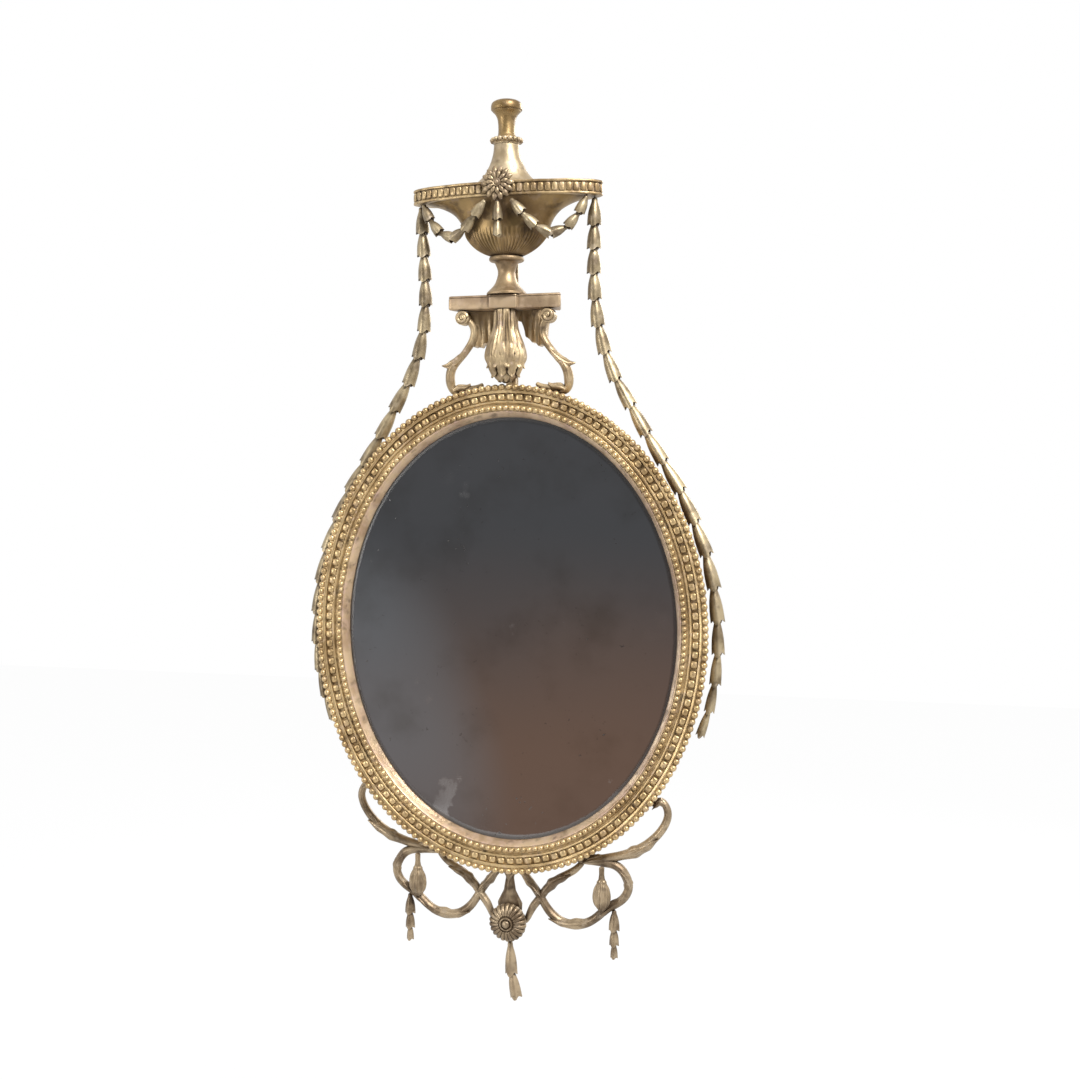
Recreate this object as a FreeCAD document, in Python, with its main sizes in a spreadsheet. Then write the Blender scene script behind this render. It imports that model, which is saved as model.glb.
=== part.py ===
import FreeCAD, Part
import math
import os
import re

import Sketcher

# Carved and gilded oval wall mirror with an urn crest, husk chains and a scrolled apron.
# Millimetres. The origin is the centre of the oval on the wall plane, +Z is up and -Y is the front.
# A depth is a distance in front of the wall, so a point at a depth has y = -depth.

Vector = FreeCAD.Vector
document = FreeCAD.newDocument("OvalMirror")

# Driving sizes, one cell each
SIZES = [
    ("sight_half_width", 224.0),
    ("sight_half_height", 277.5),
    ("wall_gap", 6.0),
    ("board_sink", 2.0),
    ("board_thickness", 6.0),
    ("wedge_thickness", 6.0),
    ("glass_thickness", 4.0),
    ("rebate_width", 12.0),
    ("glass_clearance", 1.5),
    ("board_clearance", 0.8),
    ("plank_clearance", 0.4),
    ("centre_plank_width", 170.0),
    ("slip_width", 8.0),
    ("slip_rise", 13.0),
    ("slip_edge", 1.5),
    ("slip_flat", 1.2),
    ("pearl_flat", 7.2),
    ("pearl_radius", 3.5),
    ("pearl_pitch", 8.1),
    ("ridge_width", 5.8),
    ("ridge_rise", 3.0),
    ("block_flat", 9.6),
    ("block_sink", 4.0),
    ("block_width", 8.2),
    ("block_length", 9.4),
    ("block_height", 4.4),
    ("block_pitch", 12.3),
    ("fillet_width", 3.6),
    ("fillet_rise", 4.0),
    ("bead_flat", 8.8),
    ("bead_rise", 2.0),
    ("bead_radius", 4.2),
    ("bead_pitch", 9.2),
    ("edge_height", 4.0),
    ("undercut", 7.0),
    ("undercut_height", 11.0),
    ("seat_gap", 0.25),
    ("wedge_length", 24.0),
    ("wedge_width", 7.0),
    ("brad_length", 14.0),
    ("brad_radius", 0.7),
    ("brad_clearance", 0.05),
    ("pad_radius", 8.0),
    ("strap_width", 14.0),
    ("strap_thickness", 3.0),
    ("strap_lap", 16.0),
    ("screw_radius", 1.6),
    ("screw_head_radius", 3.2),
    ("screw_length", 14.0),
    ("screw_clearance", 0.1),
    ("plate_width", 14.0),
    ("plate_length", 34.0),
    ("plate_thickness", 1.5),
    ("ring_wire_radius", 1.4),
    ("ring_clearance", 0.08),
    ("ring_half_width", 11.0),
    ("ring_drop", 14.0),
    ("knuckle_wall", 1.1),
    ("knuckle_length", 10.0),
    ("console_height", 95.5),
    ("console_half_width", 62.0),
    ("apron_height", 46.0),
    ("board_depth", 14.0),
    ("leg_radius", 4.9),
    ("volute_radius", 9.4),
    ("volute_depth", 18.0),
    ("bud_radius", 27.0),
    ("bud_neck_radius", 15.0),
    ("bud_tip_radius", 6.0),
    ("bud_axis_depth", 37.0),
    ("bud_flute_radius", 4.0),
    ("plinth_half_width", 76.5),
    ("plinth_back_half_width", 66.0),
    ("plinth_height", 18.5),
    ("plinth_depth", 41.0),
    ("plinth_break", 5.0),
    ("plinth_break_half_width", 19.0),
    ("urn_axis_depth", 33.0),
    ("spigot_radius", 5.0),
    ("spigot_length", 10.0),
    ("spigot_clearance", 0.1),
    ("foot_height", 49.5),
    ("foot_radius", 26.0),
    ("stem_radius", 11.2),
    ("collar_radius", 22.0),
    ("body_height", 34.0),
    ("body_foot_radius", 19.0),
    ("body_half_width", 57.0),
    ("body_half_depth", 30.0),
    ("bowl_height", 37.6),
    ("bowl_half_width", 107.0),
    ("bowl_half_depth", 35.0),
    ("rim_height", 19.0),
    ("rim_half_width", 127.5),
    ("rim_half_depth", 37.0),
    ("rim_fillet_height", 3.5),
    ("rim_cove", 7.6),
    ("rim_block_radius", 2.9),
    ("rim_block_pitch", 9.0),
    ("lid_height", 52.0),
    ("lid_half_width", 50.0),
    ("lid_half_depth", 33.0),
    ("lid_top_radius", 16.5),
    ("bead_ring_height", 9.0),
    ("bead_ring_radius", 18.6),
    ("bead_ring_bead_radius", 3.2),
    ("knob_height", 49.5),
    ("knob_radius", 20.6),
    ("knob_foot_radius", 13.0),
    ("knob_neck_radius", 11.0),
    ("rosette_radius", 22.0),
    ("rosette_thickness", 9.0),
    ("rosette_lift", 6.0),
    ("wire_radius", 1.0),
    ("wire_clearance", 0.3),
    ("chain_inset", 10.5),
    ("chain_depth", 18.0),
    ("chain_top_depth", 33.0),
    ("husk_width", 19.5),
    ("festoon_husk_width", 14.0),
    ("drop_husk_width", 15.5),
    ("rosette_husk_width", 15.0),
    ("rosette_husk_pitch", 20.0),
    ("scroll_depth", 16.0),
    ("scroll_radius", 5.2),
    ("base_reach", 74.0),
    ("base_bud_radius", 13.0),
    ("base_bud_length", 47.0),
    ("base_bud_tip_radius", 2.5),
    ("patera_radius", 26.0),
    ("patera_thickness", 21.0),
    ("stem_half_width", 11.0),
    ("stem_thickness", 8.0),
    ("stem_top_half_width", 6.0),
]
sheet = document.addObject("Spreadsheet::Sheet", "Sizes")
for row, (alias, value) in enumerate(SIZES, start=1):
    sheet.set(f"A{row}", alias)
    sheet.set(f"B{row}", str(value))
    sheet.setAlias(f"B{row}", alias)
document.recompute()
ALIASES = re.compile(r"\b(" + "|".join(alias for alias, _ in SIZES) + r")\b")

# Levels that several pieces share, as sums of the sheet's sizes
GLASS_FRONT = "(wall_gap + board_sink + board_thickness + wedge_thickness + glass_thickness)"
PEARL_SIDE = "(slip_width + pearl_flat)"
RIDGE_SIDE = "(slip_width + pearl_flat + ridge_width)"
BLOCK_SIDE = "(slip_width + pearl_flat + ridge_width + block_flat)"
FILLET_SIDE = "(slip_width + pearl_flat + ridge_width + block_flat + fillet_width)"
OUTER_SIDE = "(slip_width + pearl_flat + ridge_width + block_flat + fillet_width + bead_flat)"
BACK_SIDE = f"({OUTER_SIDE} - undercut)"
FRAME_TOP = f"(sight_half_height + {OUTER_SIDE})"
BOARD_FRONT = "(wall_gap + board_depth)"
PLINTH_BASE = f"({FRAME_TOP} + console_height)"
FOOT_BASE = f"({PLINTH_BASE} + plinth_height)"
BODY_BASE = f"({FOOT_BASE} + foot_height)"
BOWL_BASE = f"({BODY_BASE} + body_height)"
RIM_BASE = f"({BOWL_BASE} + bowl_height)"
LID_BASE = f"({RIM_BASE} + rim_height)"
BEAD_RING_BASE = f"({LID_BASE} + lid_height)"
KNOB_BASE = f"({BEAD_RING_BASE} + bead_ring_height)"
CREST_REACH = f"({KNOB_BASE} + knob_height)"


def value_of(text):
    """Value of an expression in the sheet's names."""
    return float(sheet.evalExpression(str(text)))


def bind(target, property_path, text):
    """Tie one property of an object to an expression in the sheet's names."""
    target.setExpression(property_path, ALIASES.sub(r"Sizes.\1", str(text)))


def new_body(label):
    """Empty body that carries one piece, with its origin planes by role."""
    body = document.addObject("PartDesign::Body", label)
    body.Label = label
    planes = {feature.Role: feature for feature in body.Origin.OriginFeatures}
    return body, planes


def place(body, x="0", y="0", z="0", rotation=None):
    """Put a body at a point given as expressions, turned where asked."""
    if rotation is not None:
        body.Placement = FreeCAD.Placement(Vector(0, 0, 0), rotation)
    bind(body, "Placement.Base.x", x)
    bind(body, "Placement.Base.y", y)
    bind(body, "Placement.Base.z", z)


def new_sketch(body, plane, name, offset="0"):
    """Sketch on a plane of its body, lifted along the plane's normal."""
    sketch = body.newObject("Sketcher::SketchObject", name)
    sketch.AttachmentSupport = [(plane, "")]
    sketch.MapMode = "FlatFace"
    bind(sketch, "AttachmentOffset.Base.z", offset)
    return sketch


def draw_outline(sketch, corners):
    """Closed outline through corners (across, up, bulge). The bulge belongs to the side that leaves
    the corner: 0 is straight, otherwise it is the arc's height over its chord, positive to the left."""
    points = [Vector(value_of(corner[0]), value_of(corner[1]), 0) for corner in corners]
    first = sketch.GeometryCount
    count = len(corners)
    for index, corner in enumerate(corners):
        start = points[index]
        end = points[(index + 1) % count]
        bulge = corner[2] if len(corner) > 2 else 0
        if bulge == 0:
            sketch.addGeometry(Part.LineSegment(start, end))
            continue
        chord = end - start
        middle = (start + end) * 0.5 + Vector(-chord.y, chord.x, 0) * bulge
        sketch.addGeometry(Part.Arc(start, middle, end))
    for index, corner in enumerate(corners):
        here = first + index
        after = first + (index + 1) % count
        bulge = corner[2] if len(corner) > 2 else 0
        start_vertex = 2 if bulge > 0 else 1
        end_vertex = 1 if bulge > 0 else 2
        next_bulge = corners[(index + 1) % count][2] if len(corners[(index + 1) % count]) > 2 else 0
        next_vertex = 2 if next_bulge > 0 else 1
        sketch.addConstraint(Sketcher.Constraint("Coincident", here, end_vertex, after, next_vertex))
        for kind, text in (("DistanceX", corner[0]), ("DistanceY", corner[1])):
            constraint = sketch.addConstraint(
                Sketcher.Constraint(kind, -1, 1, here, start_vertex, value_of(text)))
            bind(sketch, f"Constraints[{constraint}]", text)
        if bulge != 0:
            across, up = corners[(index + 1) % count][:2]
            spread = (0.25 + bulge * bulge) / (2 * abs(bulge))
            text = f"hypot({across} - ({corner[0]}); {up} - ({corner[1]})) * {spread:.9f}"
            constraint = sketch.addConstraint(Sketcher.Constraint("Radius", here, value_of(text)))
            bind(sketch, f"Constraints[{constraint}]", text)


def draw_ellipse(sketch, half_width, half_height):
    """Ellipse about the sketch's origin with its axes level and upright."""
    wide = value_of(half_width) >= value_of(half_height)
    across = Vector(value_of(half_width), 0, 0)
    up = Vector(0, value_of(half_height), 0)
    major, minor = (across, up) if wide else (up, -across)
    curve = sketch.addGeometry(Part.Ellipse(major, minor, Vector(0, 0, 0)))
    sketch.exposeInternalGeometry(curve)
    sketch.addConstraint(Sketcher.Constraint("Coincident", curve, 3, -1, 1))
    sketch.addConstraint(Sketcher.Constraint("Horizontal" if wide else "Vertical", curve + 1))
    lengths = (half_width, half_height) if wide else (half_height, half_width)
    for axis, text in enumerate(lengths, start=1):
        constraint = sketch.addConstraint(Sketcher.Constraint("Distance", curve + axis, 2 * value_of(text)))
        bind(sketch, f"Constraints[{constraint}]", f"2 * ({text})")


def draw_circle(sketch, radius, across="0", up="0"):
    """Circle of a radius about a point of the sketch."""
    centre = Vector(value_of(across), value_of(up), 0)
    circle = sketch.addGeometry(Part.Circle(centre, Vector(0, 0, 1), value_of(radius)))
    constraint = sketch.addConstraint(Sketcher.Constraint("Radius", circle, value_of(radius)))
    bind(sketch, f"Constraints[{constraint}]", radius)
    for kind, text in (("DistanceX", across), ("DistanceY", up)):
        constraint = sketch.addConstraint(Sketcher.Constraint(kind, -1, 1, circle, 3, value_of(text)))
        bind(sketch, f"Constraints[{constraint}]", text)


def pad(body, sketch, name, length):
    """Solid raised from a sketch along its normal."""
    feature = body.newObject("PartDesign::Pad", name)
    feature.Profile = sketch
    bind(feature, "Length", length)
    document.recompute()
    return feature


def pocket(body, sketch, name, length=None, forward=False):
    """Recess cut from a sketch, against its normal unless forward, through all when no length."""
    before = body.Shape.Volume
    feature = body.newObject("PartDesign::Pocket", name)
    feature.Profile = sketch
    feature.Reversed = forward
    if length is None:
        feature.Type = "ThroughAll"
    else:
        bind(feature, "Length", length)
    document.recompute()
    if body.Shape.Volume >= before:
        raise ValueError(f"{body.Label}: {name} cuts nothing")
    return feature


def flatten_back(body, planes, reach):
    """Plane off what would stand behind the common back plane of the crest."""
    sketch = new_sketch(body, planes["XZ_Plane"], body.Label + "_back", "wall_gap")
    draw_outline(sketch, [(f"-{reach}", f"-{reach}"), (reach, f"-{reach}"), (reach, reach), (f"-{reach}", reach)])
    pocket(body, sketch, body.Label + "_planing")


def turned(label, corners, y, z, rotation=None, x="0"):
    """Piece turned on a lathe: an outline (radius, height) spun about its upright axis."""
    body, planes = new_body(label)
    sketch = new_sketch(body, planes["XZ_Plane"], label + "_profile")
    draw_outline(sketch, corners)
    turning = body.newObject("PartDesign::Revolution", label + "_turning")
    turning.Profile = sketch
    turning.ReferenceAxis = (sketch, ["V_Axis"])
    turning.Angle = 360
    document.recompute()
    place(body, x, y, z, rotation)
    return body, planes


def oval_loft(label, base, sections):
    """Carved oval form lofted through level ellipses (height, half width, half depth) about the
    urn's axis, planed flat at the back."""
    body, planes = new_body(label)
    sketches = []
    for index, (height, half_width, half_depth) in enumerate(sections):
        sketch = new_sketch(body, planes["XY_Plane"], f"{label}_section_{index}", f"{base} + {height}")
        bind(sketch, "AttachmentOffset.Base.y", "-urn_axis_depth")
        draw_ellipse(sketch, half_width, half_depth)
        sketches.append(sketch)
    document.recompute()
    loft = body.newObject("PartDesign::AdditiveLoft", label + "_loft")
    loft.Profile = sketches[0]
    loft.Sections = sketches[1:]
    document.recompute()
    if body.Shape.BoundBox.YMax > -sheet.wall_gap:
        flatten_back(body, planes, CREST_REACH)
    return body, planes


def feature(label, shape):
    """Piece whose shape is worked out in full from the sheet's sizes."""
    piece = document.addObject("Part::Feature", label)
    piece.Label = label
    piece.Shape = shape
    piece.Placement = shape.Placement
    return piece


# The oval. Every edge of the moulding is an ellipse whose two half axes are the sight's plus one offset,
# as an oval turning lathe cuts them.

SIGHT_A = float(sheet.sight_half_width)
SIGHT_B = float(sheet.sight_half_height)


def oval_edge(offset, depth):
    """Ellipse at an offset from the sight edge and a depth in front of the wall."""
    half_width = SIGHT_A + offset
    half_height = SIGHT_B + offset
    centre = Vector(0, -depth, 0)
    if half_height >= half_width:
        curve = Part.Ellipse(Vector(0, -depth, half_height), Vector(half_width, -depth, 0), centre)
    else:
        curve = Part.Ellipse(Vector(half_width, -depth, 0), Vector(0, -depth, half_height), centre)
    return curve.toShape()


def oval_moulding(profile):
    """Ring whose section is a closed outline of (offset, depth) corners."""
    faces = []
    for index, (offset, depth) in enumerate(profile):
        next_offset, next_depth = profile[(index + 1) % len(profile)]
        near = oval_edge(offset, depth)
        far = oval_edge(next_offset, next_depth)
        if depth == next_depth:
            wires = [Part.Wire(near), Part.Wire(far)]
            faces.append(Part.makeFace(Part.makeCompound(wires), "Part::FaceMakerBullseye"))
        else:
            faces.append(Part.makeRuledSurface(near, far))
    shell = Part.makeShell(faces)
    shell.sewShape()
    ring = Part.makeSolid(shell)
    ring.fix(1e-6, 1e-6, 1e-6)
    if ring.Volume < 0:
        ring.reverse()
    return ring


def oval_point(angle, offset):
    """Point at an offset from the sight edge, with its outward and forward unit vectors, as (x, z)."""
    half_width = SIGHT_A + offset
    half_height = SIGHT_B + offset
    along = (-half_width * math.sin(angle), half_height * math.cos(angle))
    length = math.hypot(*along)
    forward = Vector(along[0] / length, 0, along[1] / length)
    outward = Vector(forward.z, 0, -forward.x)
    return Vector(half_width * math.cos(angle), 0, half_height * math.sin(angle)), outward, forward


def oval_stations(offset, pitch):
    """Angles of points spaced evenly round the oval, about one pitch apart."""
    steps = 4000
    angles = [2 * math.pi * step / steps for step in range(steps + 1)]
    points = [oval_point(angle, offset)[0] for angle in angles]
    lengths = [0.0]
    for step in range(steps):
        lengths.append(lengths[-1] + points[step + 1].distanceToPoint(points[step]))
    count = round(lengths[-1] / pitch)
    stations = []
    step = 0
    for index in range(count):
        wanted = lengths[-1] * index / count
        while lengths[step + 1] < wanted:
            step += 1
        share = (wanted - lengths[step]) / (lengths[step + 1] - lengths[step])
        stations.append(angles[step] + share * (angles[step + 1] - angles[step]))
    return stations


def frame_axes(across, up, origin):
    """Placement whose local X and Z point along two world directions at right angles."""
    rotation = FreeCAD.Rotation(across, up.cross(across), up, "ZXY")
    return FreeCAD.Placement(origin, rotation)


# Oval frame: one moulded ring of softwood with a rebate behind for the glass
glass_front = value_of(GLASS_FRONT)
outer_side = value_of(OUTER_SIDE)
back_side = value_of(BACK_SIDE)
pearl_level = glass_front + sheet.slip_rise
block_level = pearl_level - sheet.block_sink
fillet_level = pearl_level + sheet.fillet_rise
bead_level = pearl_level + sheet.bead_rise
edge_level = bead_level - sheet.edge_height
RIDGE_STEPS = 4
ridge_start = value_of(PEARL_SIDE)
ridge_crown = [
    (ridge_start + sheet.ridge_width * (1 - math.cos(math.pi * step / RIDGE_STEPS)) / 2,
     pearl_level + sheet.ridge_rise * math.sin(math.pi * step / RIDGE_STEPS))
    for step in range(1, RIDGE_STEPS)
]
frame_profile = [
    (sheet.slip_width, glass_front),
    (sheet.slip_width, pearl_level),
    (ridge_start, pearl_level),
    *ridge_crown,
    (value_of(RIDGE_SIDE), pearl_level),
    (value_of(RIDGE_SIDE), block_level),
    (value_of(BLOCK_SIDE), block_level),
    (value_of(BLOCK_SIDE), fillet_level),
    (value_of(FILLET_SIDE), fillet_level),
    (value_of(FILLET_SIDE), bead_level),
    (outer_side, bead_level),
    (outer_side, edge_level),
    (back_side, edge_level - sheet.undercut_height),
    (back_side, sheet.wall_gap),
    (sheet.rebate_width, sheet.wall_gap),
    (sheet.rebate_width, glass_front),
]
frame_ring = oval_moulding(frame_profile)

# Sight slip: the smooth bevelled ring between the courses and the glass
slip_side = sheet.slip_width - sheet.seat_gap
sight_slip = feature("sight_slip", oval_moulding([
    (0, glass_front),
    (0, glass_front + sheet.slip_edge),
    (slip_side - sheet.slip_flat, pearl_level),
    (slip_side, pearl_level),
    (slip_side, glass_front),
]))

# Pearl course, block course and outer beads, planted on the ring's flats
pearl = Part.makeSphere(sheet.pearl_radius, Vector(0, 0, 0), Vector(0, -1, 0), 0, 90, 360)
bead = Part.makeSphere(sheet.bead_radius, Vector(0, 0, 0), Vector(0, -1, 0), 0, 90, 360)
half_block = sheet.block_width / 2
block_base = Part.makeLine(Vector(half_block, 0, 0), Vector(-half_block, 0, 0))
block_crown = Part.Arc(
    Vector(-half_block, 0, 0), Vector(0, -sheet.block_height, 0), Vector(half_block, 0, 0)).toShape()
block = Part.Face(Part.Wire([block_base, block_crown])).extrude(Vector(0, 0, sheet.block_length))
block.translate(Vector(0, 0, -sheet.block_length / 2))


def course(label, shape, offset, depth, pitch):
    """Row of one ornament round the oval at an offset, seated at a depth."""
    copies = []
    for angle in oval_stations(offset, pitch):
        point, outward, forward = oval_point(angle, offset)
        copy = shape.copy()
        copy.Placement = frame_axes(outward, forward, point + Vector(0, -depth, 0))
        copies.append(copy)
    return feature(label, Part.makeCompound(copies))


course("pearl_course", pearl, sheet.slip_width + sheet.pearl_flat / 2, pearl_level, sheet.pearl_pitch)
course("block_course", block, value_of(RIDGE_SIDE) + sheet.block_flat / 2, block_level, sheet.block_pitch)
course("outer_beads", bead, outer_side - sheet.bead_flat / 2, bead_level, sheet.bead_pitch)

# Mirror plate: silvered glass laid in the rebate against the slip and the ring's lip
body, planes = new_body("mirror_plate")
sketch = new_sketch(body, planes["XZ_Plane"], "mirror_outline", f"{GLASS_FRONT} - glass_thickness")
draw_ellipse(sketch, "sight_half_width + rebate_width - glass_clearance",
             "sight_half_height + rebate_width - glass_clearance")
pad(body, sketch, "mirror_sheet", "glass_thickness")

# Glazing wedges: glue blocks in the rebate behind the glass
WEDGE_COUNT = 12
wedges = []
wedge_outer = sheet.rebate_width - 2 * sheet.seat_gap - sheet.wedge_length ** 2 / (4 * SIGHT_A)
wedge_back = sheet.wall_gap + sheet.board_sink + sheet.board_thickness
for index in range(WEDGE_COUNT):
    point, outward, forward = oval_point(2 * math.pi * (index + 0.5) / WEDGE_COUNT, wedge_outer)
    block_shape = Part.makeBox(sheet.wedge_width, sheet.wedge_thickness, sheet.wedge_length)
    block_shape.translate(Vector(-sheet.wedge_width, -sheet.wedge_thickness, -sheet.wedge_length / 2))
    block_shape.Placement = frame_axes(outward, forward, point + Vector(0, -wedge_back, 0)).multiply(
        block_shape.Placement)
    wedges.append(block_shape)
feature("glazing_wedges", Part.makeCompound(wedges))

# Backboard: three upright softwood planks in the rebate
PLANK_REACH = "(sight_half_height + sight_half_width + rebate_width)"
PLANK_EDGE = "(centre_plank_width / 2)"
for label, low, high in (
        ("backboard_left", f"-{PLANK_REACH}", f"-{PLANK_EDGE}"),
        ("backboard_centre", f"-{PLANK_EDGE} + plank_clearance", f"{PLANK_EDGE} - plank_clearance"),
        ("backboard_right", PLANK_EDGE, PLANK_REACH)):
    body, planes = new_body(label)
    sketch = new_sketch(body, planes["XZ_Plane"], label + "_outline", "wall_gap + board_sink")
    draw_ellipse(sketch, "sight_half_width + rebate_width - board_clearance",
                 "sight_half_height + rebate_width - board_clearance")
    pad(body, sketch, label + "_board", "board_thickness")
    for side, start, end in (("low", f"-{PLANK_REACH}", low), ("high", high, PLANK_REACH)):
        if start == end:
            continue
        cut = new_sketch(body, planes["XZ_Plane"], f"{label}_{side}", "0")
        draw_outline(cut, [(start, f"-{PLANK_REACH}"), (end, f"-{PLANK_REACH}"),
                           (end, PLANK_REACH), (start, PLANK_REACH)])
        pocket(body, cut, f"{label}_{side}_cut", forward=True)

# Brads: driven into the rebate wall just behind the backboard
BRAD_COUNT = 14
brads = []
brad_depth = sheet.wall_gap + sheet.board_sink - sheet.brad_radius - sheet.brad_clearance
for index in range(BRAD_COUNT):
    point, outward, forward = oval_point(2 * math.pi * (index + 0.25) / BRAD_COUNT, sheet.rebate_width)
    start = point - outward * (sheet.brad_length / 2) + Vector(0, -brad_depth, 0)
    brads.append(Part.makeCylinder(sheet.brad_radius, sheet.brad_length, start, outward))
feature("backboard_brads", Part.makeCompound(brads))

# Wall pads: felt discs on the ring's back that keep the hangers off the wall
band_middle = (sheet.rebate_width + back_side) / 2
PAD_ANGLES = (62, 118, 242, 298)
feature("wall_pads", Part.makeCompound([
    Part.makeCylinder(sheet.pad_radius, sheet.wall_gap,
                      oval_point(math.radians(angle), band_middle)[0], Vector(0, -1, 0))
    for angle in PAD_ANGLES
]))


def screw(origin):
    """Countersunk wood screw, its head's face at a point of the back and its shank pointing forward."""
    head_height = sheet.screw_head_radius - sheet.screw_radius
    head = Part.makeCone(sheet.screw_head_radius, sheet.screw_radius, head_height, origin, Vector(0, -1, 0))
    shank = Part.makeCylinder(sheet.screw_radius, sheet.screw_length - head_height,
                              origin + Vector(0, -head_height, 0), Vector(0, -1, 0))
    return head.fuse(shank).removeSplitter()


def screw_hole(origin):
    """Room for such a screw, with its clearance all round."""
    slack = sheet.screw_clearance
    head_height = sheet.screw_head_radius - sheet.screw_radius
    head = Part.makeCone(sheet.screw_head_radius + slack, sheet.screw_radius + slack, head_height,
                         origin, Vector(0, -1, 0))
    shank = Part.makeCylinder(sheet.screw_radius + slack, sheet.screw_length + slack,
                              origin, Vector(0, -1, 0))
    return head.fuse(shank)


# Ring hangers: a brass plate with a rolled knuckle and a brass ring on each side of the ring's back
HANGER_ANGLE = 40
PLATE_SCREWS = (0.3, 0.75)
knuckle_bore = sheet.ring_wire_radius + sheet.ring_clearance
knuckle_radius = knuckle_bore + sheet.knuckle_wall
ring_screws = []
frame_holes = []
for side, angle in (("left", 180 - HANGER_ANGLE), ("right", HANGER_ANGLE)):
    point, outward, forward = oval_point(math.radians(angle), band_middle)
    up = forward if forward.z > 0 else -forward
    across = up.cross(Vector(0, 1, 0))
    pivot = point + Vector(0, -(sheet.wall_gap - knuckle_radius), 0)
    frame_here = frame_axes(across, up, pivot)
    plate = Part.makeBox(sheet.plate_width, sheet.plate_thickness, sheet.plate_length)
    plate.translate(Vector(-sheet.plate_width / 2, -knuckle_radius, 0))
    knuckle = Part.makeCylinder(knuckle_radius, sheet.knuckle_length,
                                Vector(-sheet.knuckle_length / 2, 0, 0), Vector(1, 0, 0))
    bore = Part.makeCylinder(knuckle_bore, sheet.plate_width + 2,
                             Vector(-sheet.plate_width / 2 - 1, 0, 0), Vector(1, 0, 0))
    swing = Part.makeBox(sheet.plate_width + 2, 2 * knuckle_radius, knuckle_radius * 1.6)
    swing.translate(Vector(sheet.knuckle_length / 2, -knuckle_radius, -0.01))
    mirrored_swing = swing.mirror(Vector(0, 0, 0), Vector(1, 0, 0))
    plate = plate.cut(swing).cut(mirrored_swing).fuse(knuckle).cut(bore).removeSplitter()
    plate.Placement = frame_here
    for share in PLATE_SCREWS:
        head = point + up * (sheet.plate_length * share) + Vector(0, -(sheet.wall_gap - sheet.plate_thickness), 0)
        plate = plate.cut(screw_hole(head))
        ring_screws.append(screw(head))
        frame_holes.append(screw_hole(head))
    feature(f"ring_plate_{side}", plate)
    corner = sheet.ring_wire_radius * 2
    half = sheet.ring_half_width
    low = -sheet.ring_drop
    turn = math.sqrt(0.5)
    path = Part.Wire([
        Part.makeLine(Vector(corner - half, 0, 0), Vector(half - corner, 0, 0)),
        Part.Arc(Vector(half - corner, 0, 0), Vector(half - corner * (1 - turn), 0, -corner * (1 - turn)),
                 Vector(half, 0, -corner)).toShape(),
        Part.makeLine(Vector(half, 0, -corner), Vector(half, 0, low)),
        Part.Arc(Vector(half, 0, low), Vector(0, 0, low - half), Vector(-half, 0, low)).toShape(),
        Part.makeLine(Vector(-half, 0, low), Vector(-half, 0, -corner)),
        Part.Arc(Vector(-half, 0, -corner), Vector(corner * (1 - turn) - half, 0, -corner * (1 - turn)),
                 Vector(corner - half, 0, 0)).toShape(),
    ])
    section = Part.Wire(Part.makeCircle(sheet.ring_wire_radius, Vector(corner - half, 0, 0), Vector(1, 0, 0)))
    ring = path.makePipeShell([section], True, False)
    ring.Placement = frame_here
    feature(f"hang_ring_{side}", ring)
feature("ring_screws", Part.makeCompound(ring_screws))

# Crest strap: flat iron bar screwed to the backs of the frame and the crest
strap_foot = SIGHT_B + back_side - sheet.strap_lap
strap_head = value_of(RIM_BASE)
strap = Part.makeBox(sheet.strap_width, sheet.strap_thickness, strap_head - strap_foot)
strap.translate(Vector(-sheet.strap_width / 2, -sheet.wall_gap, strap_foot))
strap_screw_heights = {
    "oval_frame": strap_foot + sheet.strap_lap / 2,
    "console_board": value_of(PLINTH_BASE) - sheet.apron_height / 2,
    "plinth": value_of(PLINTH_BASE) + sheet.plinth_height / 2,
    "urn_bowl": value_of(RIM_BASE) - sheet.bowl_height / 4,
}
strap_back = sheet.wall_gap - sheet.strap_thickness
strap_heads = {name: Vector(0, -strap_back, height) for name, height in strap_screw_heights.items()}
for head in strap_heads.values():
    strap = strap.cut(screw_hole(head))
feature("crest_strap", strap)
feature("strap_screws", Part.makeCompound([screw(head) for head in strap_heads.values()]))

frame_holes.append(screw_hole(strap_heads["oval_frame"]))
for hole in frame_holes:
    frame_ring = frame_ring.cut(hole)
feature("oval_frame", frame_ring)


def strap_screw_hole(body, planes, name):
    """Pilot hole for a strap screw in the back of a crest piece."""
    sketch = new_sketch(body, planes["XZ_Plane"], name + "_pilot", "wall_gap")
    draw_circle(sketch, "screw_radius + screw_clearance", "0", str(strap_screw_heights[name]))
    pocket(body, sketch, name + "_pilot_hole", "screw_length", forward=True)


# Console board: the shaped apron behind the bud and the legs
body, planes = new_body("console_board")
sketch = new_sketch(body, planes["XZ_Plane"], "console_outline", "wall_gap")
STEM_FOOT = f"(sight_half_height + {BACK_SIDE} + seat_gap)"
LOBE = f"({PLINTH_BASE} - apron_height)"
HALF_STEM = "(bud_neck_radius * 0.4)"
WING = (
    ("console_half_width * 0.81", PLINTH_BASE, 0.08),
    ("console_half_width * 0.8", f"{LOBE} + apron_height * 0.2", -0.3),
    ("console_half_width * 0.66", LOBE, -0.12),
    ("console_half_width * 0.4", f"{LOBE} + apron_height * 0.22", 0.1),
    ("bud_neck_radius * 1.2", f"{LOBE} + apron_height * 0.6", -0.3),
    (HALF_STEM, f"{LOBE} + apron_height * 0.55", 0),
    (HALF_STEM, STEM_FOOT, 0),
)
left_wing = [(f"-({across})", up, WING[index - 1][2] if index else 0)
             for index, (across, up, bulge) in reversed(list(enumerate(WING)))]
draw_outline(sketch, list(WING) + left_wing)
pad(body, sketch, "console_sheet", "board_depth")
strap_screw_hole(body, planes, "console_board")


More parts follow.
